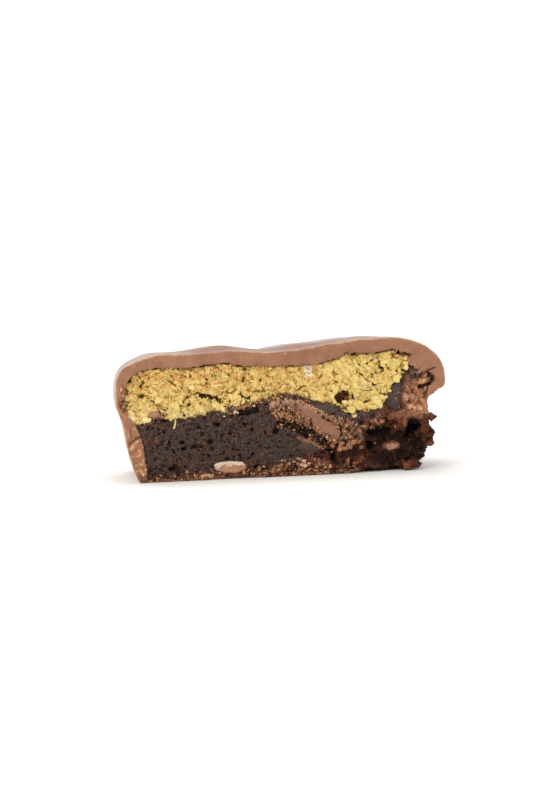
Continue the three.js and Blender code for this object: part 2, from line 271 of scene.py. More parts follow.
# The bar's outlines at the cut, from the base's left corner over the top to its right corner, as (x, z)
bar = {
    "shell": [
        (-30.4, 0), (-31.6, 2.6), (-32.5, 6), (-33.1, 9.5), (-33.6, 12.3), (-34.4, 14.8), (-34.8, 16.8),
        (-34.9, 19), (-34.6, 21), (-34.1, 22.5), (-33.2, 23.6), (-31.7, 24.5), (-29.8, 25.3),
        (-27.5, 26), (-24.4, 26.3), (-16.4, 26.3), (-10.8, 26.7), (-4.5, 26.2), (1.4, 26.3),
        (8.9, 27.3), (15.4, 28), (23.2, 28.3), (27, 27.9), (29.9, 26.9), (31.9, 25.6), (33.4, 24.2),
        (34.5, 22.2), (34.9, 20), (34.8, 18), (34.4, 13), (33.6, 6), (31, 0),
    ],
    "filling": [
        (-28.9, 0.8), (-29.2, 5), (-29.8, 9), (-30.8, 11.7), (-32.2, 13.4), (-32.9, 15.8), (-32.8, 18.6),
        (-32.2, 21.2), (-30.2, 22.7), (-27.4, 23.5), (-19.6, 23.5), (-12.7, 24.2), (-8.8, 23.6),
        (0.6, 23.1), (8.1, 23.5), (14.2, 25.3), (19.3, 25.2), (23.9, 25.9), (25.9, 24.7),
        (27.3, 22.6), (29.3, 21.4), (31.8, 20.6), (32.7, 19.2), (31.4, 17.6), (30.8, 15.5),
        (30.9, 12.5), (31.6, 10), (32.4, 8), (32, 5), (30.4, 2.6), (29, 0.8),
    ],
    "height": 28.3,
    "closing": 28.3 / 2.6,  # height at which the back walls close in on their middle
    "backWall": 2.4,
    "edgeRadius": 6.5,  # rounding of the back edges
    "edgeDrop": 0.85,  # height that the back edge loses for each millimetre that it pulls in
    "narrowing": 0.013,  # share of its length that it loses from the cut to the back
    "crown": 0.7,  # how much the top rises behind the pressed-down cut edge
    "crownReach": 8,  # how far behind the cut it has fully risen
    "swells": [(-14, 0.8, 5), (2.5, 0.5, 4)],  # where the top is rounder, how much higher, how wide
}


def barSection(x, z, y, wall):
    # the bar's section at depth y: crowned behind the cut and rounded off towards the back
    radius = bar["edgeRadius"] - wall
    past = clamp(y - (back - wall - radius), 0, radius)
    inset = radius - math.sqrt(radius ** 2 - past ** 2)
    swell = bar["crown"] + sum(rise * math.exp(-(((x - at) / width) ** 2))
                               for at, rise, width in bar["swells"])
    crown = swell * (1 - min(1, (x / halfLength) ** 4)) * ease(y, front, front + bar["crownReach"])
    lowered = 1 - bar["edgeDrop"] * inset / bar["height"]
    narrow = 1 - bar["narrowing"] * (y - front) / (back - front)
    return x * narrow * (1 - inset / halfLength), z * lowered * (1 + crown / bar["height"])


# Milk chocolate coat: one closed sock, from the inner back wall forward, over the cut face and back outside
coat = {
    "around": 740,  # points round the arch and the base together
    "baseShare": 0.3,  # the share of them along the base
    "bandSteps": 16,  # steps across the cut face of the coat
    "edgeRound": 0.28,  # rounding of the cut's outer edge
    "edgeSteps": (0.1, 0.2, 0.35, 0.6, 1, 1.5, 2, 2.6, 3.2, 4, 5, 6, 7),  # depths of the steps behind it
    "waves": [(8, 0.32), (3.5, 0.1)],  # width and height of the waves in the hand-dipped surface
    "waveFoot": (0.3, 5),  # heights between which the waves set in
    "waveFade": 6,  # over what depth they set in behind the cut, and push the back out
    "backPush": 0.7,  # the share of a wave that the back takes
    "backGap": 0.1,
    "chippedWall": (-31.2, 5, 4.5, 8),  # where the wall's cut face is chipped instead of cut
    "tornWall": {"centre": (35.2, front - 0.5, 5.4), "radii": (8, 18, 12), "rough": 0.07},
    "tornFilm": {"centre": (27, front - 1, 0), "radii": (13, 9, 1.4), "rough": 0.12},
    "filmNick": {"centre": (-10.5, front - 0.4, -0.1), "radii": (5.4, 2, 1.3), "rough": 0.2},
    "corner": (33.2, 18.9, 1.75),  # middle (x, z) and radius of the round corner over the tear
    "cornerHeight": 2.4,
    "cornerFade": (2, 7),  # depths between which it turns back into the plain coat
    "chipFade": (0.7, 0.15),  # no chips this close to the outer edge, nor on this inner share of the cut
    "cutUneven": (0.05, 5, 0.8),  # height, length and width of the knife's faint marks
    "cutGap": 0.04,
    "looseWall": (-33.3, 17, 0.8, 3.4),  # where the wall's cut face is crumbly
    "looseFilm": [(-28, 0, 6, 1.4), (-18, 0, 8, 1.2), (-4, 0, 7, 1.2), (8, 0, 8, 1.2)],  # and the base film's
    "looseCrumbs": [(1.1, 0.8), (0.45, 0.6)],  # width and height of those crumbs
    "inside": (0.8, 0.3),  # width and reach of the ragged inner edge
    "rim": (0.05, 0.32, 0.3),  # start, end and raggedness of the pale drawn-out rim, part burr and part painted highlight
    "cutReach": 1.6,  # how far behind the cut its marks and its material go
    "chipEdgeHighlights": [  # painted highlights on the edges of the wall's chips: lines as (x, z), half width and strength
        ([(-31.9, 7.2), (-31.7, 7.6), (-31.2, 8), (-30.8, 8.8)], 0.26, 0.9),
        ([(-31.5, 9.2), (-31, 9.6), (-30.3, 10)], 0.18, 0.8),
        ([(-30.5, 6.8), (-30, 6.4), (-29.7, 6.2), (-30.2, 5.9), (-30.6, 5.5)], 0.22, 1),
        ([(-29.2, 5.2), (-29.5, 4.7), (-30.1, 4.2)], 0.24, 0.9),
        ([(-31.9, 5.5), (-30.6, 5.5)], 0.18, 0.5),
        ([(-31.7, 3.8), (-29.7, 3.8)], 0.18, 0.5),
        ([(-31.3, 2.4), (-30.3, 2.7), (-29.8, 1.9), (-29.7, 1.2), (-29.9, 0.6)], 0.24, 0.9),
        ([(-28.8, 2.8), (-29.5, 2.5)], 0.24, 0.9),
        ([(-30, 8.8), (-29.5, 8.6), (-29.4, 8.1)], 0.2, 0.7),
        ([(-32.1, 11), (-31.4, 11.3), (-30.7, 11)], 0.16, 0.5),
        ([(-32.6, 10.8), (-32.3, 10.1), (-32.5, 9.3)], 0.16, 0.5),
    ],
    "slits": [  # lines as (x, z), half width and depth
        ([(-32.2, 8.2), (-31.6, 8.6), (-30.9, 9.3), (-30, 9.9)], 0.16, 0.6),
        ([(24.8, 25.1), (26.1, 24.8), (27.4, 24.5)], 0.26, 1.6),
        ([(30.8, 21), (31.8, 21.3), (32.8, 21.8)], 0.16, 0.9),
        ([(11.8, 24.6), (13, 25), (14, 25.4)], 0.12, 0.6),
        ([(-28.4, 22.7), (-27.2, 23.1), (-26, 23.4)], 0.12, 0.5),
    ],
}


def coatStations():
    # each station: 0 inside or 1 outside, the depth, and how far it has closed in on the middle
    wall = bar["backWall"]
    rounded = bar["edgeRadius"]
    stations = [(0, back - wall, closed) for closed in (1, 0.75, 0.5, 0.25)]
    stations += [(0, back - wall - (rounded - wall) * (1 - math.cos(a)), 0)
                 for a in np.linspace(0, math.pi / 2, 5)]
    stations += [(0, y, 0) for y in np.linspace(back - rounded - 2, front + 4, 10)]
    stations += [(0, y, 0) for y in np.linspace(front + 3, front, 9)]
    stations += [(step / coat["bandSteps"], front, 0) for step in range(1, coat["bandSteps"] + 1)]
    stations += [(1, front + y, 0) for y in coat["edgeSteps"]]
    stations += [(1, y, 0) for y in np.linspace(front + 8, back - rounded, 18)]
    stations += [(1, back - rounded + rounded * math.sin(a), 0)
                 for a in np.linspace(0.1, math.pi / 2, 16)]
    stations += [(1, back, closed) for closed in np.linspace(0.08, 1, 12)]
    return stations


def roughLump(place, detail, sizes=((4, 1), (1.3, 0.5), (0.5, 0.2))):
    # a lump with a broken surface, from a sphere; sizes are the width and the share of each bump
    bm = bmesh.new()
    bmesh.ops.create_icosphere(bm, subdivisions=detail, radius=1)
    centre = Vector(place["centre"])
    radii = Vector(place["radii"])
    for v in bm.verts:
        spot = centre + v.co * radii
        reach = sum(share * noise.noise(spot / size) for size, share in sizes)
        v.co = centre + v.co * (1 + place["rough"] * reach) * radii
    return bm


def chipped(x, z):
    # conchoidal chips: each cell of the chipped wall leans its own way
    spot = Vector((x, z * 0.8, 4.0)) / 1.6 + noise.noise_vector(Vector((x, z, 0)) / 2.5) * 0.35
    _, centres = noise.voronoi(spot)
    lean = (spot - centres[0]).dot(noise.cell_vector(centres[0] * 5.1) - Vector((0.5, 0.5, 0.5)))
    return 0.1 + 0.5 * chance(centres[0]) + 0.7 * lean


def makeCoat():
    stations = coatStations()
    around = coat["around"]
    baseCount = round(around * coat["baseShare"])
    outlines = []
    for points in (bar["filling"], bar["shell"]):
        arch = smoothPath(points, around - baseCount)
        base = np.linspace(arch[-1], arch[0], baseCount + 1)
        outlines.append(np.vstack([arch, base[1:]]))
    bm = bmesh.new()
    bmesh.ops.create_grid(bm, x_segments=around, y_segments=len(stations) - 1, size=1)
    for v in bm.verts:
        u = round((v.co.x + 1) / 2 * around)
        coatShare, y, closed = stations[round((v.co.y + 1) / 2 * (len(stations) - 1))]
        inner, outer = outlines[0][u], outlines[1][u]
        x, z = mix(inner, outer, coatShare)
        sx, sz = barSection(x, z, y, mix(bar["backWall"], 0, round(coatShare)))
        sx, sz = mix(sx, 0, closed), mix(sz, bar["closing"], closed)
        if coatShare == 1:
            spot = Vector((sx, y, sz))
            reach = coat["waveFade"]
            free = ease(sz, *coat["waveFoot"]) * ease(y, front, front + reach)
            wave = sum(height * noise.noise(spot / wide) for wide, height in coat["waves"]) * free
            atBack = coat["backPush"] * ease(y, back - reach, back)
            push = Vector((sx / halfLength, atBack, sz / bar["height"]))
            sx += push.x * wave
            y += push.y * (wave - coat["backGap"])
            sz += push.z * wave
        elif coatShare > 0:
            thick = np.hypot(*(outer - inner))
            toEdge = thick * (1 - coatShare)
            lip = coat["edgeRound"]
            if toEdge < lip:
                y += lip - math.sqrt(lip ** 2 - (lip - toEdge) ** 2)
            outerFade, innerFade = coat["chipFade"]
            chips = near(sx, sz, [coat["chippedWall"]])
            chips = chips * ease(toEdge, 0, outerFade) * ease(coatShare, 0, innerFade)
            y += chips * max(0, chipped(sx, sz))
            deep, length, width = coat["cutUneven"]
            y += deep * noise.noise(Vector((sx / length, 0, sz / width))) + coat["cutGap"]
            crumbled = near(sx, sz, [coat["looseWall"], *coat["looseFilm"]])
            if crumbled:
                y += crumbled * (0.1 + billow(Vector((sx, 3, sz)), coat["looseCrumbs"]))
            y += valley(Vector((sx, y, sz)), coat["slits"])
        if coatShare < 1 and y < front + 4:
            size, reach = coat["inside"]
            loose = noise.noise_vector(Vector((sx, y / 2, sz)) / size)
            loose = loose * ease(sz, 1, 3) * (1 - ease(coatShare, 0, 0.4))
            sx += reach * loose.x
            sz += reach * loose.z
        v.co = inBox((sx, y, sz), 0)
    bmesh.ops.remove_doubles(bm, verts=bm.verts, dist=1e-4)
    bmesh.ops.recalc_face_normals(bm, faces=bm.faces)
    return bm


def markCoat(bm, breaks):
    # tells dipped, cut and broken faces apart, and stores where the cut has its drawn-out rim, part burr and
    # part painted highlight, its chips and their edges, which get painted highlights, and its crumbly wall
    outline = smoothPath(bar["shell"], 500)
    start, end, uneven = coat["rim"]
    reach = front + coat["cutReach"]
    rims, chips, worn, loose = [], [], [], []
    for v in bm.verts:
        rim = chip = 0.0
        if v.co.y < reach:
            toRim = np.hypot(*(outline - (v.co.x, v.co.z)).T).min()
            rim = 1 - ease(toRim, start, end + uneven * noise.noise(v.co / 1.3))
            chip = valley(v.co, coat["chipEdgeHighlights"]) if v.co.x < -25 else 0
        rims.append(rim)
        chips.append(chip)
        worn.append(near(v.co.x, v.co.z, [coat["chippedWall"]]))
        loose.append(near(v.co.x, v.co.z, [coat["looseWall"]]))
    for name, column in (("rim", rims), ("chip", chips), ("worn", worn), ("loose", loose)):
        storeValues(bm, name, column)
    for face in bm.faces:
        middle = face.calc_center_median()
        if any(tree.find_nearest(middle, 0.02)[0] for tree in breaks):
            face.material_index = 2
        elif middle.y < front + 0.12 or (middle.y < reach and face.normal.y < -0.5):
            face.material_index = 1
    return bm


def roundCorner(bm):
    # rounds the lower corner of the overhang that stands over the tear
    cx, cz, radius = coat["corner"]
    fadeStart, fadeEnd = (front + depth for depth in coat["cornerFade"])
    for v in bm.verts:
        away = Vector((v.co.x - cx, 0, v.co.z - cz))
        if away.x > 0 and -coat["cornerHeight"] < away.z < 0 and away.length > radius:
            v.co -= away.normalized() * (away.length - radius) * (1 - ease(v.co.y, fadeStart, fadeEnd))
    return bm


print("coat")
coatMesh = makeCoat()
breaks = []
for name, detail in (("tornWall", 6), ("tornFilm", 5), ("filmNick", 4)):
    lump = roughLump(coat[name], detail)
    breaks.append(BVHTree.FromBMesh(lump))
    coatMesh = carved(coatMesh, lump)
coatTree = BVHTree.FromBMesh(coatMesh)
coatPiece = toObject("coating", roundCorner(markCoat(coatMesh, breaks)))


# Pistachio kunafa: chopped, toasted kataifi pastry bound with pistachio cream, crumbly at the left and
# pressed into plates by the knife at the right
kunafa = {
    "voxel": 0.13,
    "softened": 2,  # how often the voxels' steps are smoothed
    "depths": ((-40, 3.2), (40, 3.2)),  # how far back from the cut it is finely made, as (x, depth)
    "relief": (2, 3),  # depths behind the cut between which its relief fades out
    "grow": 0.36,  # closes the clearance to its neighbours
    "top": [(-32, 21.6), (-31, 22.4), (-27.4, 23.5), (-19.6, 23.5), (-12.7, 24.2), (-8.8, 23.6), (0.6, 23.1),
            (8.1, 23.5), (14.2, 25.3), (19.3, 25.2), (23.9, 25.9), (26, 24.6)],
    "clumps": (1.25, 0.55, 0.16, 0.22),  # width, height steps, width of the gaps and their depth
    "crumbs": [(0.8, 0.6), (0.38, 0.4)],  # width and height of the crumbs on the clumps
    "plates": (2.0, 0.55, 0.1, 0.55),  # the same of the pressed plates
    "plateCrumbs": [(1.0, 0.22), (0.45, 0.22)],
    "plated": (2, 12),  # where along the cut the crumbs turn to plates
    # width of the noise, its start, end and depth
    "holes": [(1.1, 0.42, 0.56, 0.75), (0.55, 0.42, 0.52, 0.5)],
    "seam": (0.8, 0.05, 0.4),  # depth of the gap under the coat, and its start and end
    "toastRise": (15.5, 20),  # height over which it gets more toasted
    "toastFade": (3, 14),  # and the x over which that ends
    "toastUnder": (0.3, 2, 0.8),  # start, end and share of the toasted strip under the coat
    "creamRise": (14, 18),  # the same for the creamy part low at the left
    "creamFade": (-9, -1),
    "creamShare": 0.34,
    "cracks": [  # lines as (x, z), half width and depth
        ([(-27.3, 16.8), (-26, 15.8), (-24.7, 14.8)], 0.22, 1.1),
        ([(-20.8, 16.5), (-20.1, 17.2), (-18.7, 17.8), (-17.8, 18)], 0.34, 0.8),
        ([(-17.8, 18), (-16.9, 17.5), (-14.2, 17.1), (-13.1, 16.4)], 0.5, 1),
        ([(-12.2, 17.9), (-10.6, 17.9), (-9.9, 18.6)], 0.2, 0.7),
        ([(-9, 17.2), (-8.1, 16.9), (-7.2, 16.7)], 0.34, 1.3),
        ([(-6.6, 17.9), (-5.6, 18.1), (-4, 18.1), (-1.3, 18.1), (-0.4, 18.9), (1.3, 19.3)], 0.14, 0.7),
        ([(-24, 21.1), (-23.1, 20.4), (-22, 19.6)], 0.22, 0.9),
        ([(-21.5, 14.6), (-20.7, 13.6)], 0.15, 0.6),
        ([(3, 17.6), (4.2, 18.8), (5, 18.8)], 0.13, 0.6),
        ([(4.2, 17.2), (5.2, 16.4), (6.3, 16.6)], 0.13, 0.6),
        ([(7.9, 17.7), (8.8, 18), (9.8, 18), (11, 17)], 0.15, 0.7),
        ([(10.6, 19.8), (11.9, 19.3)], 0.13, 0.6),
        ([(14.3, 24.5), (14.6, 24.1), (15, 23.6)], 0.15, 0.7),
        ([(15.3, 23.3), (16.7, 22.8)], 0.15, 0.7),
        ([(15.9, 21.5), (16.9, 20.8), (17.6, 19.9), (18.5, 19.2), (19.4, 18.6), (20.5, 18.4)], 0.16, 0.8),
        ([(18.2, 23), (19, 23.5), (19.9, 23.9)], 0.14, 0.7),
        ([(20.8, 23.3), (21, 22.1), (21.5, 21.5)], 0.3, 0.7),
        ([(22.1, 22.7), (23.3, 21.3)], 0.26, 0.6),
        ([(20.7, 16.7), (21.7, 16.4), (22.7, 16.3)], 0.18, 0.9),
        ([(16.7, 15.5), (17.5, 15), (18.7, 15.4)], 0.18, 0.8),
        ([(17.6, 17.3), (18.7, 17.4), (19.3, 17.4)], 0.12, 0.6),
        ([(24.8, 25.1), (26.1, 24.8), (27.4, 24.5)], 0.26, 1.2),
    ],
    "pits": [(-29.5, 17.9, 0.9, 0.45), (-31.9, 21.2, 0.4, 0.6), (12.7, 16.1, 1.7, 1.4),
             (-7.9, 22.9, 0.5, 0.4), (-11.4, 21.8, 0.4, 0.35), (-20.2, 21.6, 0.3, 0.3),
             (-6.9, 19.8, 0.3, 0.3), (20.5, 25.5, 0.4, 0.3)],
    "pitDepth": 1.3,
    "pale": [(5.5, 22.1, 1.2, 1.8), (-32, 13, 0.8, 0.9)],  # spots of white sugar
    "burnt": [(12.7, 16.1, 1.7, 1.5)],  # the hole, with brown painted shade deep in it
}


def cells(spot, shape):
    # clumps at their own heights, with gaps between them; also gives a value for each clump
    size, steps, gap, depth = shape
    distances, centres = noise.voronoi(spot / size)
    lift = chance(centres[0])
    opened = 0.35 + 0.65 * ease(noise.noise(spot / 1.3 + Vector((8, 8, 8))), -0.1, 0.35)
    return steps * (lift - 0.5) - depth * opened * (1 - ease(distances[1] - distances[0], 0, gap)), lift


def kunafaToast(spot):
    # more toasted in the upper left part and in a strip under the coat
    x = spot.x + 2 * noise.noise(spot / 2)
    z = spot.z + 1.5 * noise.noise(spot / 1.5 + Vector((3, 0, 5)))
    start, end, share = kunafa["toastUnder"]
    under = 1 - ease(onLine(kunafa["top"], x) - z, start, end)
    return max(ease(z, *kunafa["toastRise"]) * (1 - ease(x, *kunafa["toastFade"])), share * under)


def kunafaRelief(spot, _):
    plate = ease(spot.x, *kunafa["plated"])
    bent = spot + noise.noise_vector(spot / 1.3) * 0.4 + noise.noise_vector(spot / 0.45) * 0.12
    height, tone = cells(bent, kunafa["clumps"])
    height += billow(bent, kunafa["crumbs"]) - 0.3
    if plate > 0:
        slanted = Vector((bent.x + bent.z, bent.y, (bent.z - bent.x) * 0.6))
        flat, flatTone = cells(slanted, kunafa["plates"])
        flat += billow(bent, kunafa["plateCrumbs"]) - 0.24
        height, tone = mix(height, flat, plate), mix(tone, 0.6 * flatTone, plate)
    for size, start, end, depth in kunafa["holes"]:
        height -= depth * ease(noise.noise(spot / size + Vector((9, 2, 4))), start, end) * (1 - 0.6 * plate)
    depth, start, end = kunafa["seam"]
    seam = ease(noise.noise(spot / 1.6 + Vector((0, 0, 9))), -0.25, 0.2)
    height -= depth * seam * (1 - ease(abs(onLine(kunafa["top"], spot.x) - spot.z), start, end))
    x, z = stray(spot, 0.35, 0.7, (3, 5, 7))
    height -= valley(spot, kunafa["cracks"]) + kunafa["pitDepth"] * near(x, z, kunafa["pits"])
    return height, tone


def kunafaPale(spot):
    creamy = (1 - ease(spot.z, *kunafa["creamRise"])) * (1 - ease(spot.x, *kunafa["creamFade"]))
    creamy *= 0.6 + noise.noise(spot / 1.2)
    return max(near(spot.x + 0.5 * noise.noise(spot), spot.z, kunafa["pale"]), kunafa["creamShare"] * creamy)


# brown painted shade in the hole, darker the deeper a spot lies in it
def kunafaHoleShade(spot):
    return near(spot.x, spot.z, kunafa["burnt"]) * ease(spot.y, front + 0.25, front + 0.8)


def roughen(bm, relief, grow, reach, zone, **marks):
    # pushes a fine mesh out and in by a relief, sideways also by its clearance, and stores values that the
    # material reads
    bm.normal_update()
    values, moves = [], []
    for v in bm.verts:
        share = zone(v.co)
        height, tone = relief(v.co, share)
        fade = 1 - ease(v.co.y, *reach)
        uneven = grow * (1 + 1.2 * noise.noise(v.co / 0.9 + Vector((4, 4, 4))) * fade)
        moves.append(Vector((v.normal.x, 0, v.normal.z)) * uneven + v.normal * height * fade)
        values.append((height, tone, share))
    for v, move in zip(bm.verts, moves):
        v.co = inBox(v.co + move)
    for name, column in zip(("height", "tone", "zone"), zip(*values)):
        storeValues(bm, name, column)
    for name, valueAt in marks.items():
        storeValues(bm, name, [valueAt(v.co) for v in bm.verts])


def softened(bm, times):
    axes = {f"use_axis_{axis}": True for axis in "xyz"}
    for _ in range(times):
        bmesh.ops.smooth_vert(bm, verts=bm.verts, factor=0.5, **axes)
    return bm


def fineFront(node, layer):
    # the part of a layer near the cut, in even small faces; its hidden flat back is left plain
    depths, voxel = layer["depths"], layer["voxel"]
    block = carved(cadCopy(node), frontBlock(depths), "INTERSECT")
    bm = softened(remeshed(block, voxel), layer["softened"])
    bm.normal_update()
    hidden = [face for face in bm.faces
              if face.normal.y > 0.6 and behind(face.calc_center_median(), depths) > -voxel * 1.2]
    bmesh.ops.dissolve_faces(bm, faces=hidden)
    return bm


def makeLayer(name, node, layer, relief, zone, **marks):
    # a layer as one piece, from its fine front and the plain hidden rest of it, and a tree of the front
    print(name)
    fine = fineFront(node, layer)
    fades = [front + depth for depth in layer["relief"]]
    roughen(fine, relief, layer["grow"], fades, zone, **marks)
    tree = BVHTree.FromBMesh(fine)
    addTo(fine, carved(cadCopy(node), frontBlock(layer["depths"])))
    return toObject(name, fine), tree


kunafaPiece, kunafaTree = makeLayer("kunafa", "kunafa_layer", kunafa, kunafaRelief, kunafaToast,
                                    pale=kunafaPale, burnt=kunafaHoleShade)

# Brownie: a dense dark crumb, cut smooth by the knife at the left and torn open at the right
brownie = {
    "voxel": 0.2,
    "softened": 3,
    "depths": ((-40, 2.4), (6, 3), (15, 6), (24, 8.5), (28, 14), (31, 22), (40, 24)),
    "relief": (25, 29),
    "grow": 0.34,
    "cut": 4,  # how far behind the cut the crumb can be knife-cut at all
    "pits": [(0.5, 0.36, 0.46, 0.5), (1.1, 0.48, 0.55, 0.6)],  # width of the noise, its start, end and depth
    "holes": [(-15.6, 7.9, 0.7, 0.5), (-18.9, 7.1, 0.6, 0.4), (-21.2, 6.7, 0.5, 0.4),
              (-14.1, 11.5, 0.7, 0.35), (-1.7, 9.6, 0.6, 0.7), (-21.5, 8, 0.6, 0.3), (-23.8, 2.6, 0.5, 0.4)],
    "holeDepth": 1.1,
    "grain": (0.4, 0.1),  # width and height
    "bubbles": [(3.4, 1.5), (1.5, 0.8), (0.7, 0.32)],  # spacing and depth of the air cells in the torn crumb
    "torn": [(12, 3.6, 9, 5.5), (25, 6.6, 9, 8), (31.5, 8, 4, 9), (21, 10.6, 4, 1.8), (-2, 1.2, 8, 1.6)],
    "shoulder": [(29.6, 16.2, 4.4, 5.6)],
    "ridge": [(26.5, 12, 3.6, 1), (15.2, 7.4, 2, 1.3), (17, 9.9, 1.3, 0.7), (20.2, 10.8, 1.6, 0.7)],
    "hollow": [(24.8, 4.7, 8, 5.8), (27.8, 8.8, 2.6, 2.8), (28.4, 1.5, 2.8, 1.6)],  # torn out deepest, and darkened there with painted shade
    "deep": [(27.9, 9.6, 1.5, 1.5), (22, 8.4, 1.2, 1), (19.5, 8.6, 1.7, 1.1), (18.6, 5.6, 1, 0.9),
             (-5.8, 1.9, 1.4, 0.7)],  # the holes in it, dug deeper and painted black as shade
    "pressed": [(9.8, 14.2, 3.4, 1.3), (14, 12.4, 3.6, 1.2), (19, 12.4, 3.6, 1.1), (24, 15.6, 2, 2.6),
                (24.6, 17.4, 1.2, 1.2), (5.4, 6.4, 2.6, 1.2)],  # grey and flat from the knife
    "lumps": [(2.4, 1.2), (1, 0.6)],  # width and height of the lumps in the broken shoulder
    "smooth": [(24.6, 17.4, 1.2, 1.2), (23.4, 14.6, 1.7, 1.6), (29.2, 20.1, 1.5, 0.9),
               (32.3, 19.8, 0.8, 0.8), (5.6, 6, 2.8, 1.6)],  # cut spots within the torn part
    "crevices": [  # lines as (x, z), half width and depth
        ([(-1, 11.4), (1.5, 10.9), (3.2, 10.2), (5, 9.1), (6.8, 8.1), (8.5, 6.9), (9.8, 5.3), (10.5, 3.6)],
         0.75, 1.8),
        ([(-9.2, 13.7), (-7.9, 13.5), (-6.6, 13.9), (-5.5, 14.2)], 0.42, 1.9),
        ([(-27.7, 13.1), (-26.5, 13)], 0.26, 1.2),
        ([(-25.5, 12.8), (-24.5, 12.7), (-23.7, 12.9), (-22.9, 13.2)], 0.36, 1.5),
        ([(-18.2, 13.6), (-17.3, 13.4), (-16.4, 13.7)], 0.26, 1.3),
        ([(29.6, 17.8), (31.4, 18.2)], 0.35, 1.6),
    ],
    # painted highlight along the edge below the first crevice
    "lip": [(2.8, 8.1), (4.2, 7.5), (5.5, 7.2), (6.6, 6.6), (7.7, 5.8), (8.5, 5)],
}


def brownieTorn(spot):
    if spot.y > front + brownie["cut"]:
        return 1.0
    x, z = stray(spot, 0.9, 1.4, (5, 0, 3))
    return near(x, z, brownie["torn"] + brownie["shoulder"]) * (1 - near(x, z, brownie["smooth"]))


def brownieRusset(spot):
    x, z = stray(spot, 0.5, 1, (9, 1, 5))
    behindCut = 0.6 * ease(spot.y, front + brownie["cut"], front + 2 * brownie["cut"])
    return max(near(x, z, brownie["shoulder"]), 0.7 * near(x, z, brownie["ridge"]), behindCut)


# painted shade: the deeper a spot lies in the hollow, the darker, and black in its deepest holes
def brownieHollowShade(spot):
    x, z = spot.x, spot.z + 0.8 * noise.noise(spot / 1.5)
    shade = near(x, z, brownie["hollow"]) * ease(spot.y, front + 0.7, front + 3.5)
    return max(0.75 * shade * (1 - 0.7 * near(x, z, brownie["ridge"])), near(x, z, brownie["deep"]))


def browniePressed(spot):
    return near(spot.x + 0.4 * noise.noise(spot), spot.z, brownie["pressed"])


# painted highlight along the lip
def brownieLipHighlight(spot):
    return 1 - ease(awayFrom(brownie["lip"], spot.x, spot.z) + 0.3 * noise.noise(spot / 0.7), 0.1, 0.45)


def cutCrumb(spot):
    # the knife-cut crumb: small ragged pits, and how close a spot is to the rim of one
    height = rim = 0.0
    rough = 1 - 0.9 * near(spot.x, spot.z, brownie["pressed"])
    bent = spot + noise.noise_vector(spot / 0.4) * 0.12
    for order, (width, start, end, depth) in enumerate(brownie["pits"]):
        value = noise.noise(bent / width + Vector((0, 0, 7 * order))) + 0.12 * noise.noise(spot / 3)
        height -= depth * rough * ease(value, start, end)
        rim = max(rim, rough * (1 - abs(value - start) / 0.1))
    return height - brownie["holeDepth"] * near(bent.x, bent.z, brownie["holes"]), rim


def tornCrumb(spot):
    # the torn crumb: deep air cells low down, lumps in the shoulder
    x, z = spot.x, spot.z
    bent = spot + noise.noise_vector(spot / 1.5) * 0.7 + noise.noise_vector(spot / 0.6) * 0.22
    foam = -0.8
    for size, depth in brownie["bubbles"]:
        distances, centres = noise.voronoi(bent / size)
        foam += depth * (distances[0] - 0.15) * (0.1 + 1.2 * chance(centres[0]))
    foam -= 1.6 * near(x, z, brownie["deep"])
    lumpy = billow(bent, brownie["lumps"]) + 0.2 * noise.noise(spot / 0.5) - 0.25
    return mix(foam, lumpy, near(x, z, brownie["shoulder"] + brownie["ridge"]))


def brownieRelief(spot, torn):
    height = brownie["grain"][1] * noise.noise(spot / brownie["grain"][0])
    rim = 0.0
    if torn < 1:
        pitted, rim = cutCrumb(spot)
        height += (1 - torn) * pitted
    if torn > 0:
        height += torn * tornCrumb(spot)
    return height - valley(spot, brownie["crevices"]), rim


browniePiece, brownieTree = makeLayer("brownie", "brownie_layer", brownie, brownieRelief, brownieTorn,
                                      russet=brownieRusset, hollow=brownieHollowShade, pressed=browniePressed,
                                      lip=brownieLipHighlight)

# Ribbon of milk chocolate that melted into the brownie: smooth where the knife passed, grainy round it
ribbon = {
    "voxel": 0.15,
    "softened": 3,
    "depths": ((-40, 3.2), (40, 3.2)),
    "relief": (2, 3),
    "grow": 0.6,
    "smooth": [(4.5, 14, 1.4, 0.9), (5.7, 13, 1.5, 1.2), (7.2, 11.5, 1.3, 1.2), (8.6, 10.2, 1.6, 1.4),
               (9, 9.2, 1, 0.9), (10.4, 9.1, 1.7, 1.3), (11, 8, 1.1, 0.8)],
    "sooty": [(16, 10.8, 2, 1.5), (12.6, 7.1, 1, 0.6)],  # where it runs out into dark crumb
    "topEdge": [(-2.4, 15.6), (0.3, 15.8), (3.7, 15.3), (6.4, 14.1), (7.8, 13.2), (9, 12.5), (10, 11.8)],
    "crumbs": [(0.75, 1.0), (0.38, 0.65)],  # width and height
    "pit": (9.6, 11.5, 0.5, 1.3),  # x, z, radius and depth
    "holes": (0.9, 0.2, 0.42, 0.9),  # width of the noise, its start, end and depth
}


def ribbonGrain(spot):
    x = spot.x + 0.8 * noise.noise(spot / 1.1) + 0.5 * noise.noise(spot / 0.5)
    z = (spot.z + 0.8 * noise.noise(spot / 1.1 + Vector((2, 7, 1)))
         + 0.5 * noise.noise(spot / 0.5 + Vector((6, 1, 3))))
    return 1 - near(x, z, ribbon["smooth"])


def ribbonEdge(spot):
    return 1 - ease(awayFrom(ribbon["topEdge"], spot.x, spot.z) + 0.3 * noise.noise(spot / 0.8), 0.2, 0.7)


def ribbonSooty(spot):
    return near(spot.x + 0.7 * noise.noise(spot / 0.8), spot.z, ribbon["sooty"])


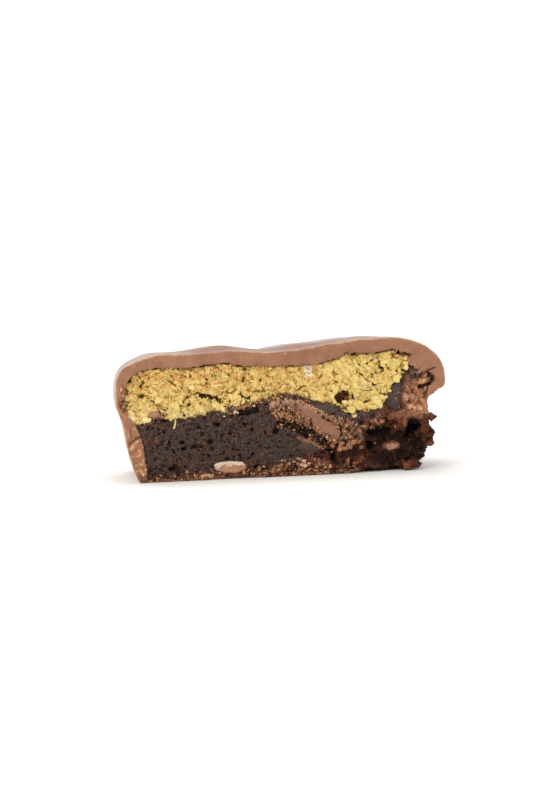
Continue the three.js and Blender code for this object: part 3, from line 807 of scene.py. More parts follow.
def ribbonRelief(spot, grain):
    height = 0.12 * noise.noise(spot / 1.6) + 0.04 * noise.noise(spot / 0.5)
    height += grain * (billow(spot + noise.noise_vector(spot / 0.6) * 0.25, ribbon["crumbs"]) - 0.4)
    size, start, end, deep = ribbon["holes"]
    height -= grain * deep * ease(noise.noise(spot / size + Vector((1, 8, 3))), start, end)
    x, z, radius, depth = ribbon["pit"]
    height -= depth * (1 - ease(math.hypot(spot.x - x, spot.z - z), radius * 0.6, radius))
    return height - valley(spot, brownie["crevices"]), noise.noise(spot / 0.8) * 0.5 + 0.5


ribbonPiece, ribbonTree = makeLayer("ribbon", "chocolate_ribbon", ribbon, ribbonRelief, ribbonGrain,
                                    sooty=ribbonSooty, edge=ribbonEdge)

# Chocolate chips: pale where they are cut or bloomed; the one in the hollow is painted darker as shade, with a
# painted highlight
chip = {
    "voxel": 0.14,
    "softened": 2,
    "grow": 0.14,
    "bumps": [(1.1, 0.5), (0.45, 0.22)],  # width and height
    "bloomAbove": (2.6, 3),  # height and x from which the one at the base is pale
    "bloomLeft": (-14.2, -13.8),
    "highlightSpot": [(23.8, 5.1, 1.2, 0.65)],  # where the one in the hollow gets its painted highlight
}


def chipRelief(spot, _):
    return billow(spot, chip["bumps"]) - 0.15, noise.noise(spot / 0.9) * 0.5 + 0.5


def paleTop(spot):
    # the chip at the base is pale and grainy on its top and its left end
    loose = 0.6 * noise.noise(spot / 0.7)
    return max(ease(spot.z + loose, *chip["bloomAbove"]), 1 - ease(spot.x + loose, *chip["bloomLeft"]))


# painted highlight: the chip in the hollow is pale only in this spot
def hollowChipHighlight(spot):
    return near(spot.x + 0.4 * noise.noise(spot), spot.z, chip["highlightSpot"])


def makeChip(name, node, pale):
    bm = softened(remeshed(cadCopy(node), chip["voxel"]), chip["softened"])
    roughen(bm, chipRelief, chip["grow"], (back, back + 1), pale)
    return toObject(name, bm)


print("chips")
baseChip = makeChip("base_chip", "chip_at_base", paleTop)
hollowChip = makeChip("hollow_chip", "chip_in_hollow", hollowChipHighlight)


# Loose bits that stand on the cut: each kind is one mesh, dropped onto the layer behind it

def dropped(tree, x, z):
    # where a line straight back into the cut face meets a layer, and the way the layer faces there
    place, normal, _, _ = tree.ray_cast(Vector((x, front - 3, z)), Vector((0, 1, 0)))
    return (place, normal) if place and place.y < front + 9 else (None, None)


def makeCrumb(bm, detail, draw, radius, place, normal, least=0):
    turn = Euler((draw.uniform(0, 6), draw.uniform(0, 6), 0)).to_matrix().to_4x4()
    shape = Matrix.Diagonal((1, draw.uniform(0.55, 1), draw.uniform(0.45, 0.9), 1))
    centre = place + normal * radius * draw.uniform(-0.7, 0.1)
    centre.y, centre.z = max(centre.y, front + radius * 0.7), max(centre.z, radius * 0.7)
    shade = mix(least, 1, draw.random())
    made = bmesh.ops.create_icosphere(bm, subdivisions=detail, radius=radius,
                                      matrix=Matrix.Translation(centre) @ turn @ shape)
    for v in made["verts"]:
        knob = noise.noise(v.co / (radius * 0.6)) * 0.8 + noise.noise(v.co / (radius * 0.25)) * 0.3
        v.co = inBox(v.co + (v.co - centre) * knob)
        v[bm.verts.layers.float["tone"]] = shade


def addLump(whole, tree, x, z, across, tall, tone):
    # a single larger lump, half sunk in the layer
    place, _ = dropped(tree, x, z)
    middle = (x, max(place.y - 0.15 if place else front, front + 0.4), z)
    sizes = ((1.3, 0.9), (0.6, 0.6), (0.3, 0.3))
    bm = roughLump({"centre": middle, "radii": (across, 0.5, tall), "rough": 0.55}, 3, sizes)
    for v in bm.verts:
        v.co = inBox(v.co)
    storeValues(bm, "tone", [tone] * len(bm.verts))
    addTo(whole, bm)


def scatterCrumbs(name, seed, detail, kinds, lumps=()):
    # kinds: the layer's tree, how many, the smallest and largest radius, where, as a function of a draw, and
    # where they are all pale the least shade. Each crumb has draws of its own, so one that misses its layer
    # shifts no other. They are made in batches, which is quicker
    batchSize = 50
    draw = random.Random(seed)
    whole = bmesh.new()
    for lump in lumps:
        addLump(whole, *lump)
    for tree, count, small, large, where, *least in kinds:
        for start in range(0, count, batchSize):
            batch = bmesh.new()
            batch.verts.layers.float.new("tone")
            for _ in range(min(batchSize, count - start)):
                own = random.Random(draw.random())
                place, normal = dropped(tree, *where(own))
                radius = mix(small, large, own.random() ** 2)
                if place is not None:
                    makeCrumb(batch, detail, own, radius, place, normal, *least)
            addTo(whole, batch)
    return toObject(name, whole, detail > 1)


def within(places):
    def where(draw):
        cx, cz, rx, rz = places[draw.randrange(len(places))]
        angle, reach = draw.uniform(0, math.tau), math.sqrt(draw.random())
        return cx + rx * reach * math.cos(angle), cz + rz * reach * math.sin(angle)
    return where


def along(points, spread):
    # on a line through points given as (x, z), give or take a spread
    def where(draw):
        x = draw.uniform(points[0][0], points[-1][0])
        return x + draw.gauss(0, spread), onLine(points, x) + draw.gauss(0, spread)
    return where


# Where they lie: ellipses as (x, z, half width, half height), or lines as (x, z) and a spread
kunafaTail = within([(13.2, 14, 0.9, 0.6), (14.3, 13.1, 1, 0.8), (15.1, 12.3, 0.5, 0.6),
                     (17.8, 13.2, 0.8, 0.3)])
kunafaHole = within([(12.7, 16.1, 1.2, 1)])
filmFace = along([(-30, 0.4), (-23, 0.45), (-16, 0.5)], 0.22)
filmMiddle = along([(-5, 0.5), (5, 0.45), (14, 0.4)], 0.22)
kunafaArea = within([(-16, 19, 16, 4.5), (8, 20, 16, 3.5)])
kunafaUnderside = along([(-31, 12), (-21, 12.5), (-10, 15.2), (0.4, 17), (9.8, 14.8), (14.3, 12),
                         (21, 13.8)], 0.35)
kunafaTop = along(kunafa["top"], 0.16)
ribbonRim = along([(-2.4, 15.8), (1.3, 16.1), (5, 15), (6.9, 13.8), (10.2, 11.8), (12.9, 10.2)], 0.28)
ribbonGrains = within([(1.4, 11.6, 3.8, 2.4), (0, 13.4, 2.6, 1.6), (12.9, 9.2, 1.8, 1.8), (8, 8, 2.4, 1)])
crevice = along(brownie["crevices"][0][0], 0.6)
kunafaDirt = within([(-26.3, 13.8, 1.8, 0.8), (12.7, 16.1, 1.3, 1.1), (0.1, 16.9, 1.6, 0.5)])
wallCrumb = within([(-33.2, 16.8, 0.6, 2.4)])
kunafaEdge = along([(-13, 14.9), (-9.3, 15.6), (-6.9, 15.6), (-2.7, 16.5), (1, 17)], 0.3)
shoulderCrumb = within([(28.6, 16.5, 3.2, 4.6), (25.6, 15.5, 1.6, 3)])
ribbonUpper = along([(0.3, 16), (3.7, 15.5), (6.4, 14.3), (7.8, 13.4), (9, 12.7), (10, 12)], 0.15)
topRight = along([(16, 27.9), (20, 28), (24, 27.9), (27.5, 27.3)], 0.12)
lobeEdge = along([(5.2, 7.9), (7.1, 6.8), (8.5, 5.2)], 0.12)
column = within([(26.4, 22.8, 0.6, 1.7)])
shoulderLine = along([(25.4, 25.4), (27.3, 22.6), (29.3, 21.3), (31.8, 20.6), (32.9, 19)], 0.35)
baseChipUnder = along([(-15.5, 1.6), (-13, 1), (-9, 0.9), (-5, 1.6)], 0.4)
topRim = along([(-33, 23.5), (-30, 25.3), (-16.4, 26), (1.4, 26), (15.4, 27.7), (28.4, 26.8)], 0.25)
flakes = within([(-30.6, 23.9, 0.7, 0.4), (-27.9, 24.9, 0.6, 0.3), (6.6, 26.4, 0.5, 0.2)])
baseLine = along([(-28, 1.1), (-14, 1.2), (5, 1.4), (16, 1.4)], 0.5)
baseCrumbs = within([(-4, 1.6, 4, 1), (1.5, 2.2, 4.2, 1.7), (6, 2, 4, 1.3)])

print("crumbs")
kunafaCrumbs = scatterCrumbs("kunafa_crumbs", 5, 1, [
    (kunafaTree, 1400, 0.1, 0.32, kunafaArea),
    (kunafaTree, 260, 0.12, 0.35, kunafaUnderside),
    (brownieTree, 70, 0.2, 0.5, kunafaTail),
    (brownieTree, 60, 0.14, 0.36, kunafaEdge),
    (coatTree, 90, 0.12, 0.36, column),
], [
    (coatTree, 26.5, 23.9, 0.5, 0.6, 0.75),
    (coatTree, 26.5, 22.9, 0.6, 0.6, 0.5),
    (coatTree, 26.4, 21.9, 0.5, 0.6, 0.8),
    (kunafaTree, 13.2, 15.1, 0.5, 0.35, 0.9),
    (brownieTree, -6.2, 15.1, 0.34, 0.22, 0.85),
    (brownieTree, -12.5, 13.1, 0.26, 0.16, 0.8),
])
brownieCrumbs = scatterCrumbs("brownie_crumbs", 9, 2, [
    (brownieTree, 380, 0.12, 0.42, within(brownie["torn"])),
    (brownieTree, 340, 0.1, 0.34, kunafaUnderside),
    (kunafaTree, 60, 0.12, 0.4, kunafaEdge),
    (brownieTree, 150, 0.1, 0.4, kunafaEdge),
    (brownieTree, 160, 0.15, 0.4, baseLine),
    (kunafaTree, 130, 0.12, 0.36, kunafaDirt),
    (coatTree, 40, 0.1, 0.28, wallCrumb),
    (brownieTree, 60, 0.1, 0.4, shoulderCrumb),
    (kunafaTree, 280, 0.07, 0.25, kunafaTop),
    (coatTree, 150, 0.07, 0.2, kunafaTop),
    (brownieTree, 90, 0.1, 0.3, shoulderLine),
    (coatTree, 80, 0.08, 0.22, shoulderLine),
    (coatTree, 160, 0.1, 0.3, baseLine),
    (coatTree, 110, 0.1, 0.34, filmFace),
    (coatTree, 220, 0.1, 0.34, filmMiddle),
    (brownieTree, 90, 0.12, 0.36, baseChipUnder),
])
goldenCrumbs = scatterCrumbs("golden_crumbs", 12, 1, [
    (ribbonTree, 800, 0.09, 0.3, ribbonGrains),
    (brownieTree, 300, 0.09, 0.3, ribbonGrains),
    (brownieTree, 150, 0.09, 0.24, crevice),
    (brownieTree, 110, 0.08, 0.2, within(brownie["torn"])),
    (ribbonTree, 200, 0.08, 0.18, ribbonRim),
    (kunafaTree, 70, 0.1, 0.3, kunafaHole),
    (brownieTree, 60, 0.08, 0.2, baseChipUnder),
    (coatTree, 120, 0.1, 0.28, baseChipUnder),
    (coatTree, 130, 0.1, 0.3, filmFace),
    (brownieTree, 60, 0.1, 0.22, lobeEdge),
    (kunafaTree, 60, 0.09, 0.24, kunafaEdge),
    (brownieTree, 90, 0.09, 0.24, kunafaEdge),
    (brownieTree, 200, 0.1, 0.28, within([(14.6, 8.6, 2.2, 2.6)])),
], [
    (brownieTree, 14.6, 6.5, 0.55, 0.5, 0.66),
    (brownieTree, 15.6, 7.9, 0.6, 0.38, 0.64),
    (brownieTree, 17.1, 9.8, 0.7, 0.32, 0.6),
    (brownieTree, 13, 5.3, 0.6, 0.35, 0.6),
    (brownieTree, 11.8, 6, 0.3, 0.3, 0.66),
    (brownieTree, 13.5, 2.4, 0.5, 0.85, 0.48),
    (brownieTree, 16.6, 5.4, 0.6, 0.5, 0.42),
    (brownieTree, 10.6, 7.2, 0.22, 0.22, 0.9),
    (brownieTree, 8, 7.1, 0.28, 0.28, 0.85),
])
chocolateCrumbs = scatterCrumbs("chocolate_crumbs", 15, 2, [
    (brownieTree, 130, 0.15, 0.42, baseLine),
    (brownieTree, 210, 0.2, 0.5, baseCrumbs),
    (coatTree, 120, 0.1, 0.32, baseLine),
    (coatTree, 220, 0.12, 0.36, filmFace),
    (coatTree, 190, 0.12, 0.36, filmMiddle),
    (ribbonTree, 150, 0.08, 0.22, ribbonRim),
    (brownieTree, 150, 0.08, 0.22, ribbonRim),
    (brownieTree, 110, 0.12, 0.34, ribbonUpper, 0.6),
    (ribbonTree, 60, 0.1, 0.26, ribbonUpper, 0.6),
    (brownieTree, 60, 0.15, 0.4, within([(-8.3, 14.8, 1.7, 0.4), (-11, 13.8, 1.4, 0.5)])),
    (brownieTree, 50, 0.1, 0.34, shoulderCrumb),
    (brownieTree, 40, 0.1, 0.3, shoulderLine),
    (coatTree, 40, 0.06, 0.16, topRim),
    (coatTree, 40, 0.08, 0.2, topRight),
    (coatTree, 14, 0.1, 0.26, flakes),
    (coatTree, 60, 0.1, 0.26, wallCrumb),
    (kunafaTree, 40, 0.12, 0.3, within([(-26.3, 13.8, 1.8, 0.8)])),
    (brownieTree, 60, 0.14, 0.4, kunafaEdge),
    (kunafaTree, 30, 0.14, 0.4, kunafaEdge),
    (coatTree, 50, 0.1, 0.3, baseChipUnder),
], [
    (brownieTree, 29.5, 13.1, 0.6, 0.45, 0.88),
    (kunafaTree, -27, 14, 1.2, 0.75, 0.62),
    (kunafaTree, -25.8, 13.6, 0.8, 0.55, 0.5),
    (coatTree, -17.2, 0.9, 0.9, 0.4, 0.92),
    (coatTree, -16.1, 0.9, 0.8, 0.35, 0.86),
    (brownieTree, 4.1, 2.1, 0.5, 0.4, 1),
    (coatTree, 0.7, 25.7, 0.5, 0.22, 0.93),
    (coatTree, -33.6, 19.6, 0.18, 0.6, 0.97),
    (coatTree, -33.2, 18.2, 0.2, 0.25, 0.95),
])

# Kataifi shreds: short toasted strands of pastry, some lying on the cut and some standing a little out of it
shred = {
    "count": 260,
    "radius": (0.07, 0.13),
    "length": (0.6, 1.9),
    "bend": 0.2,
    "steps": 4,
    "placedRadius": 0.15,
    "placedBend": 0.15,
    "placed": [  # single strands: middle (x, z), length, lean and shade
        (-22.9, 12, 2.2, 0.2, 0.8),
        (-25.3, 20.5, 2.8, 1.1, 0.9),
        (-26.2, 15.3, 2.9, -0.9, 0.1),
        (-12.1, 16.7, 1.6, 0, 0.05),
    ],
}


def addShred(bm, pattern, place, turn, size, shade):
    # size is the radius, half the length and the bend
    radius, half, bend = size
    place.y = max(place.y + 0.02, front + radius * 1.4)
    for v in bmesh.ops.duplicate(bm, geom=pattern)["geom"]:
        if isinstance(v, bmesh.types.BMVert):
            run = v.co.z
            bent = Vector((v.co.x * radius * 1.3 + bend * (1 - run ** 2), v.co.y * radius, run * half))
            v.co = inBox(place + turn @ bent)
            v[bm.verts.layers.float["tone"]] = shade


def makeShreds():
    draw = random.Random(21)
    bm = bmesh.new()
    bmesh.ops.create_cone(bm, cap_ends=True, segments=6, radius1=1, radius2=0.75, depth=2)
    for height in np.linspace(-1, 1, shred["steps"] + 1)[1:-1]:
        sliced(bm, (0, 0, height), (0, 0, 1))
    bm.verts.layers.float.new("tone")
    pattern = [*bm.verts, *bm.edges, *bm.faces]
    for _ in range(shred["count"]):
        own = random.Random(draw.random())
        x, z = kunafaArea(own)
        place, _ = dropped(kunafaTree, x, z)
        size = (own.uniform(*shred["radius"]), own.uniform(*shred["length"]) / 2, own.gauss(0, shred["bend"]))
        turn = Euler((own.gauss(0, 0.25), own.uniform(0, math.pi), 0)).to_matrix()
        if place and own.random() > ease(x, 2, 14) * 0.85:
            addShred(bm, pattern, place, turn, size, own.random())
    for x, z, length, lean, shade in shred["placed"]:
        place, _ = dropped(brownieTree if z < 13 else kunafaTree, x, z)
        size = shred["placedRadius"], length / 2, shred["placedBend"]
        addShred(bm, pattern, place, Euler((0, lean, 0)).to_matrix(), size, shade)
    bmesh.ops.delete(bm, geom=[g for g in pattern if isinstance(g, bmesh.types.BMVert)], context="VERTS")
    return toObject("kataifi_shreds", bm)


print("shreds")
shredPiece = makeShreds()


# Materials

def stored(tree, name):
    return addNode(tree, "ShaderNodeAttribute", {"attribute_name": name}).outputs["Fac"]


def ramp(tree, source, start, end, stops):
    share = addNode(tree, "ShaderNodeMapRange", {"From Min": start, "From Max": end}, {"Value": source})
    return addNode(tree, "ShaderNodeValToRGB", {"stops": stops}, {"Fac": share.outputs[0]}).outputs["Color"]


def masked(tree, source, start, end, low=0.0, high=1.0):
    settings = {"From Min": start, "From Max": end, "To Min": low, "To Max": high}
    return addNode(tree, "ShaderNodeMapRange", settings, {"Value": source}).outputs[0]


def marked(tree, name, share, start=0.0, end=1.0):
    # up to this share where the mesh has this mark
    return masked(tree, stored(tree, name), start, end, 0.0, share)


def blended(tree, share, first, second):
    # second is a colour code or another colour
    fixed = {7: linear(second)} if isinstance(second, str) else {}
    links = {0: share, 6: first} if fixed else {0: share, 6: first, 7: second}
    return addNode(tree, "ShaderNodeMix", {"data_type": "RGBA", **fixed}, links).outputs[2]


def product(tree, first, second):
    return addNode(tree, "ShaderNodeMath", {"operation": "MULTIPLY"}, {0: first, 1: second}).outputs[0]


def toned(tree, colour, tone, low, high):
    value = masked(tree, tone, 0, 1, low, high)
    return addNode(tree, "ShaderNodeHueSaturation", {}, {"Value": value, "Color": colour}).outputs["Color"]


def textureOf(tree, kind, size, **settings):
    # a texture whose features are this many millimetres wide
    place = addNode(tree, "ShaderNodeTexCoord").outputs["Object"]
    return addNode(tree, kind, {"Scale": 1 / (size * mm), **settings}, {"Vector": place})


def noiseOf(tree, size, detail=3.0):
    return textureOf(tree, "ShaderNodeTexNoise", size, Detail=detail).outputs["Fac"]


def patched(tree, size, start, end, share=1.0, detail=3.0):
    # up to this share in ragged patches that are this many millimetres wide
    return masked(tree, noiseOf(tree, size, detail), start, end, 0.0, share)


def specks(tree, size, radius, rarity):
    # round specks of a radius in millimetres, in some of the cells of a given size
    found = textureOf(tree, "ShaderNodeTexVoronoi", size)
    inside = masked(tree, found.outputs["Distance"], radius / size * 0.6, radius / size, 1.0, 0.0)
    channels = addNode(tree, "ShaderNodeSeparateColor", {}, {"Color": found.outputs["Color"]})
    rare = addNode(tree, "ShaderNodeMath", {"operation": "GREATER_THAN", 1: rarity}, {0: channels.outputs[0]})
    return product(tree, inside, rare.outputs[0])


def finished(tree, colour, bumpSize, bumpDepth, **settings):
    # the shader itself, with a fine grain in the surface, both in millimetres
    heights = {"Height": noiseOf(tree, bumpSize)}
    bump = addNode(tree, "ShaderNodeBump", {"Distance": bumpDepth * mm, "Strength": 1.0}, heights)
    names = {name.replace("_", " "): value for name, value in settings.items()}
    links = {"Base Color": colour, "Normal": bump.outputs[0]}
    shader = addNode(tree, "ShaderNodeBsdfPrincipled", names, links)
    addNode(tree, "ShaderNodeOutputMaterial", links={"Surface": shader.outputs[0]})


def kunafaMaterial(name):
    # Toasted kataifi in pistachio cream: matt, straw yellow with a green cast, orange where the strands took
    # more heat, and painted olive-brown shade in the gaps
    material, tree = newMaterial(name)
    # painted shade: the lower a spot lies in the relief, the darker and more olive it is painted
    base = ramp(tree, stored(tree, "height"), -1.1, 0.35, [
        (0, "#241d07"), (0.28, "#8d7a2c"), (0.46, "#e1c16e"), (0.72, "#e3c87a"), (1, "#e3cd8a")])
    toast = stored(tree, "zone")
    spots = product(tree, toast, patched(tree, 1.3, 0.5, 0.6, 0.85, 4.0))
    toasted = blended(tree, spots, base, "#cc8a44")
    flecked = blended(tree, patched(tree, 0.6, 0.62, 0.72, 0.7, 2.0), toasted, "#c98d4b")
    warmed = blended(tree, masked(tree, toast, 0.1, 1.0, 0.0, 0.12), flecked, "#c88f4c")
    sugared = blended(tree, marked(tree, "pale", 0.8, 0.1, 0.9), warmed, "#f2ead2")
    # painted shade: reddish brown deep in the hole
    burnt = blended(tree, marked(tree, "burnt", 0.85, 0.2, 0.9), sugared, "#6e3312")
    colour = toned(tree, burnt, stored(tree, "tone"), 0.93, 1.09)
    finished(tree, colour, 0.2, 0.12, Roughness=0.75, IOR=1.45)
    return material


def brownieMaterial(name):
    # Baked cocoa crumb: matt, grey-brown where the knife pressed it flat, with warm crumbs round its pits, and
    # red-brown where torn; painted shade darkens its pits, pores and hollows, and a painted highlight lights
    # its lip
    material, tree = newMaterial(name)
    height, zone = stored(tree, "height"), stored(tree, "zone")
    # painted shade: the deeper a spot lies in a pit, the darker
    cut = ramp(tree, height, -0.45, 0.05, [
        (0, "#080403"), (0.6, "#21150f"), (0.85, "#342824"), (1, "#3c302b")])
    grained = blended(tree, patched(tree, 0.36, 0.5, 0.66, 0.55), cut, "#665750")
    pores = noiseOf(tree, 0.34, 2.0)
    crumbed = blended(tree, masked(tree, pores, 0.56, 0.6, 0.0, 0.5), grained, "#6a412e")
    # painted shade: pores that are only painted, in black
    pored = blended(tree, masked(tree, pores, 0.6, 0.66, 0.0, 0.9), crumbed, "#0d0705")
    warmth = patched(tree, 1.1, 0.5, 0.6, 0.9, 4.0)
    rimmed = blended(tree, product(tree, stored(tree, "tone"), warmth), pored, "#8c5433")
    pressed = blended(tree, marked(tree, "pressed", 0.8), rimmed, "#4e423c")
    # painted highlight on the lip
    lipHighlighted = blended(tree, marked(tree, "lip", 0.65), pressed, "#a06e4e")
    # painted shade and highlight: the torn crumb darker the lower it lies in its air cells, the lumps darker
    # in their creases and paler on their tops
    foam = ramp(tree, height, -1.5, 0.7, [
        (0, "#080201"), (0.4, "#2c1309"), (0.72, "#562c19"), (1, "#7f4d31")])
    lumps = ramp(tree, height, -0.5, 0.7, [
        (0, "#583a2e"), (0.25, "#88593f"), (0.55, "#aa7558"), (1, "#d3a07a")])
    broken = blended(tree, stored(tree, "russet"), foam, lumps)
    # painted shade in the hollow, and black in its deepest holes
    torn = blended(tree, stored(tree, "hollow"), broken, "#0d0402")
    both = blended(tree, zone, lipHighlighted, torn)
    # painted shade: small black specks for pits too fine to model
    dark = blended(tree, specks(tree, 0.5, 0.14, 0.5), both, "#0f0806")
    warm = blended(tree, specks(tree, 0.63, 0.13, 0.72), dark, "#7d4c31")
    colour = blended(tree, specks(tree, 0.9, 0.13, 0.7), warm, "#625a57")
    finished(tree, colour, 0.22, 0.12, Roughness=0.7, IOR=1.42, Specular_IOR_Level=0.25)
    return material


def crumblyChocolate(name, stops, smooth, roughness):
    # Melted and set milk chocolate: even and satin where it is smooth; where it is grainy, painted shade
    # darkens its pits
    material, tree = newMaterial(name)
    # painted shade: darker the lower a spot lies
    grainy = ramp(tree, stored(tree, "height"), -0.6, 0.45, stops)
    speckled = blended(tree, specks(tree, 0.45, 0.15, 0.6), grainy, stops[-1][1])
    even = blended(tree, patched(tree, 1.5, 0.35, 0.65, 0.5, 2.0), speckled, smooth)
    share = marked(tree, "zone", 1.0, 0.1, 0.8)
    fixed = addNode(tree, "ShaderNodeMix", {"data_type": "RGBA", 6: linear(smooth)}, {0: share, 7: even})
    sooty = blended(tree, marked(tree, "sooty", 0.85), fixed.outputs[2], "#43312a")
    edged = blended(tree, marked(tree, "edge", 0.8), sooty, "#b28a74")
    colour = toned(tree, edged, stored(tree, "tone"), 0.82, 1.14)
    finished(tree, colour, 0.3, 0.06, Roughness=roughness, IOR=1.46, Specular_IOR_Level=0.35)
    return material


def crumbMaterial(name, stops, roughness):
    # Loose crumbs are matt and each baked or broken at another spot, so each has its own shade of its kind
    material, tree = newMaterial(name)
    shades = ramp(tree, stored(tree, "tone"), 0, 1, stops)
    finished(tree, shades, 0.2, 0.06, Roughness=roughness, IOR=1.46, Specular_IOR_Level=0.3)
    return material


def dippedMaterial(name):
    # Milk chocolate coat as it set: satin from its cocoa butter, with faint clouds and small dimples
    material, tree = newMaterial(name)
    base = ramp(tree, noiseOf(tree, 16), 0.3, 0.7, [(0, "#82553b"), (1, "#8b5d42")])
    finished(tree, base, 1.4, 0.04, Roughness=0.38, IOR=1.48, Coat_Weight=0.3, Coat_Roughness=0.3)
    return material


def cutMaterial(name, dark, light, roughness, grain):
    # Milk chocolate that was cut or broken: matt, with a pale drawn-out edge that is part burr and part
    # painted highlight, and painted highlights on the edges round its chips
    material, tree = newMaterial(name)
    base = ramp(tree, noiseOf(tree, 2.6, 4.0), 0.35, 0.65, [(0, dark), (1, light)])
    streaked = blended(tree, patched(tree, 0.5, 0.6, 0.75, 0.35), base, "#7b4a2f")
    worn = blended(tree, marked(tree, "worn", 0.5), streaked, "#95603c")
    patches, loose = noiseOf(tree, 0.7), stored(tree, "loose")
    orange = blended(tree, product(tree, loose, masked(tree, patches, 0.5, 0.4)), worn, "#c89264")
    browned = blended(tree, product(tree, loose, masked(tree, patches, 0.53, 0.6)), orange, "#5f3122")
    # pale rim along the cut's edge: partly a burr, partly a painted highlight
    rim = product(tree, stored(tree, "rim"), patched(tree, 1.2, 0.3, 0.55))
    rimmed = blended(tree, rim, browned, "#d2ab8c")
    # painted highlights on the chips' edges
    chips = product(tree, stored(tree, "chip"), patched(tree, 0.45, 0.32, 0.56))
    chipped = blended(tree, chips, rimmed, "#dfb48b")
    finished(tree, chipped, *grain, Roughness=roughness, IOR=1.46)
    return material


print("materials")
dippedChocolate = dippedMaterial("dipped milk chocolate")
cutChocolate = cutMaterial("cut milk chocolate", "#8b5e43", "#9b6c4e", 0.6, (0.5, 0.06))
brokenChocolate = cutMaterial("broken milk chocolate", "#6f422c", "#966549", 0.6, (0.6, 0.16))
toastedKunafa = kunafaMaterial("toasted kataifi in pistachio cream")
looseKunafa = crumbMaterial("loose kunafa crumbs", [
    (0, "#b87838"), (0.25, "#cfa455"), (0.6, "#e0c474"), (1, "#ebd795")], 0.7)
bakedCrumb = brownieMaterial("baked cocoa crumb")
looseCrumb = crumbMaterial("loose brownie crumbs", [
    (0, "#1c0e08"), (0.5, "#4d2c1d"), (0.85, "#8a5537"), (1, "#b57f55")], 0.6)
goldCrumb = crumbMaterial("golden sugar and crumb specks", [
    (0, "#2e170d"), (0.35, "#6b3f27"), (0.7, "#a8744c"), (1, "#e0b98a")], 0.5)
meltedChocolate = crumblyChocolate("melted milk chocolate", [
    (0, "#150905"), (0.35, "#573422"), (0.6, "#8d5f46"), (0.82, "#bb8154"), (1, "#daa26c")], "#8d634d", 0.5)
paleChip = crumblyChocolate("bloomed chocolate chip", [
    (0, "#a47b62"), (0.5, "#dcc3ae"), (1, "#f0e3d6")], "#a97c5f", 0.55)
# painted shade: the chip in the hollow is a darker copy of the chip's chocolate, as it lies in shade
shadedChip = crumblyChocolate("shaded chocolate chip", [
    (0, "#8a5d47"), (0.5, "#b98468"), (1, "#cfa083")], "#734a39", 0.6)
paleCrumb = crumbMaterial("milk chocolate crumbs", [
    (0, "#543223"), (0.5, "#8f6146"), (0.85, "#bd906b"), (1, "#cfae8c")], 0.55)

coatMaterials = [dippedChocolate, cutChocolate, brokenChocolate]
finishPiece(coatPiece, coatMaterials, "milk_chocolate", "chocolate_coating")
finishPiece(kunafaPiece, [toastedKunafa], "pistachio_kunafa", "kunafa_layer")
finishPiece(browniePiece, [bakedCrumb], "brownie_crumb", "brownie_layer")
finishPiece(ribbonPiece, [meltedChocolate], "melted_chocolate", "chocolate_ribbon")
finishPiece(baseChip, [paleChip], "chocolate_chip", "chip_at_base")
finishPiece(hollowChip, [shadedChip], "chocolate_chip", "chip_in_hollow")
finishPiece(kunafaCrumbs, [looseKunafa], "pistachio_kunafa")
finishPiece(shredPiece, [looseKunafa], "pistachio_kunafa")
finishPiece(brownieCrumbs, [looseCrumb], "brownie_crumb")
finishPiece(goldenCrumbs, [goldCrumb], "melted_chocolate")
finishPiece(chocolateCrumbs, [paleCrumb], "milk_chocolate")


# Stage: a white round floor that curves up into a rim, soft lights and the camera
stage = {
    "flat": 420,
    "rim": 300,
    "steps": 12,  # up the rim
    "turns": 96,
    "paper": "#f6f5f3",
}


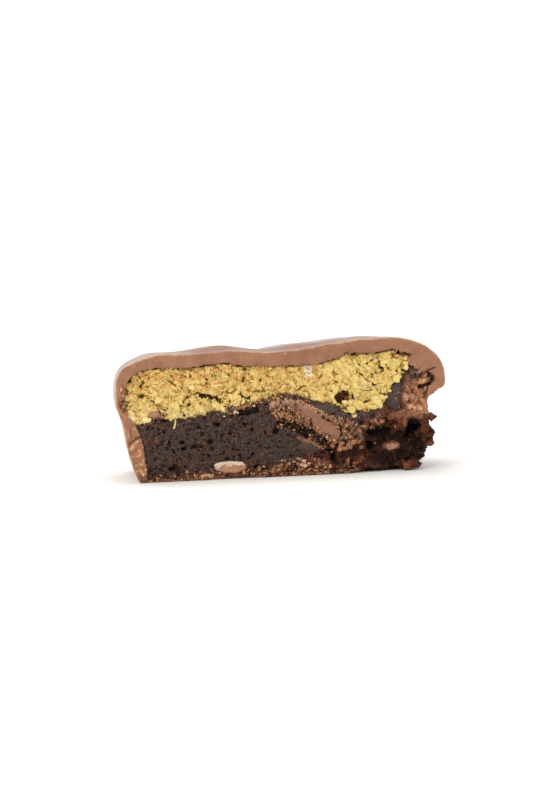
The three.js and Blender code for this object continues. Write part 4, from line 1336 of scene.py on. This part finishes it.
def makeFloor():
    bm = bmesh.new()
    profile = [bm.verts.new((0, 0, 0)), bm.verts.new((stage["flat"], 0, 0))]
    for angle in np.linspace(0, math.pi / 2, stage["steps"] + 1)[1:]:
        profile.append(bm.verts.new((stage["flat"] + stage["rim"] * math.sin(angle), 0,
                                     stage["rim"] * (1 - math.cos(angle)))))
    edges = [bm.edges.new(pair) for pair in zip(profile, profile[1:])]
    bmesh.ops.spin(bm, geom=profile + edges, cent=(0, 0, 0), axis=(0, 0, 1), angle=math.tau,
                   steps=stage["turns"], use_merge=True)
    bmesh.ops.remove_doubles(bm, verts=bm.verts, dist=1e-3)
    bmesh.ops.recalc_face_normals(bm, faces=bm.faces)
    floor = toObject("floor", bm)
    floor.data.transform(Matrix.Scale(mm, 4))
    # White paper: matt, so that it gives the eye an even ground with soft shadows and no reflection
    material, tree = newMaterial("white paper")
    finish = {"Base Color": linear(stage["paper"]), "Roughness": 0.9}
    shader = addNode(tree, "ShaderNodeBsdfPrincipled", finish)
    addNode(tree, "ShaderNodeOutputMaterial", links={"Surface": shader.outputs[0]})
    floor.data.materials.append(material)


def addLight(name, place, size, power, colour="#ffffff", aim=(0, 0, 12)):
    lamp = bpy.data.lights.new(name, "AREA")
    lamp.shape = "DISK"
    lamp.size = size * mm
    lamp.energy = power
    lamp.color = linear(colour)[:3]
    light = bpy.data.objects.new(name, lamp)
    light.location = Vector(place) * mm
    light.rotation_euler = (Vector(aim) - Vector(place)).to_track_quat("-Z", "Y").to_euler()
    bpy.context.scene.collection.objects.link(light)


print("stage")
makeFloor()
addLight("key", (-260, -340, 320), 260, 1.0, "#fffaf3")
addLight("fill", (300, -300, 180), 300, 0.22, "#f6f9ff")
addLight("top", (-40, 160, 420), 420, 0.95)
for turn, power in ((0, 2.4), (90, 1.3), (180, 1.1), (270, 1.3)):
    away = Matrix.Rotation(math.radians(turn), 3, "Z")
    addLight("backdrop", away @ Vector((0, 330, 520)), 500, power, aim=away @ Vector((0, 700, 120)))
world = bpy.data.worlds.new("studio")
world.use_nodes = True
world.node_tree.nodes["Background"].inputs["Color"].default_value = linear("#ffffff")
world.node_tree.nodes["Background"].inputs["Strength"].default_value = 0.3
bpy.context.scene.world = world
bpy.context.scene.view_settings.view_transform = "Standard"

camera = {"place": (-41.55, -287.7, 27.0), "aside": 8.0, "down": 2.27, "roll": 1.9, "lens": 58.95}


def makeCamera():
    lens = bpy.data.cameras.new("camera")
    lens.lens = camera["lens"]
    lens.sensor_width = 36
    lens.clip_start, lens.clip_end = 0.01, 10
    view = bpy.data.objects.new("camera", lens)
    view.rotation_mode = "XYZ"
    turn = Euler((math.radians(90 - camera["down"]), 0, math.radians(-camera["aside"]))).to_matrix()
    roll = Euler((0, 0, math.radians(-camera["roll"]))).to_matrix()
    view.matrix_world = Matrix.Translation(Vector(camera["place"]) * mm) @ (turn @ roll).to_4x4()
    bpy.context.scene.collection.objects.link(view)
    bpy.context.scene.camera = view


makeCamera()
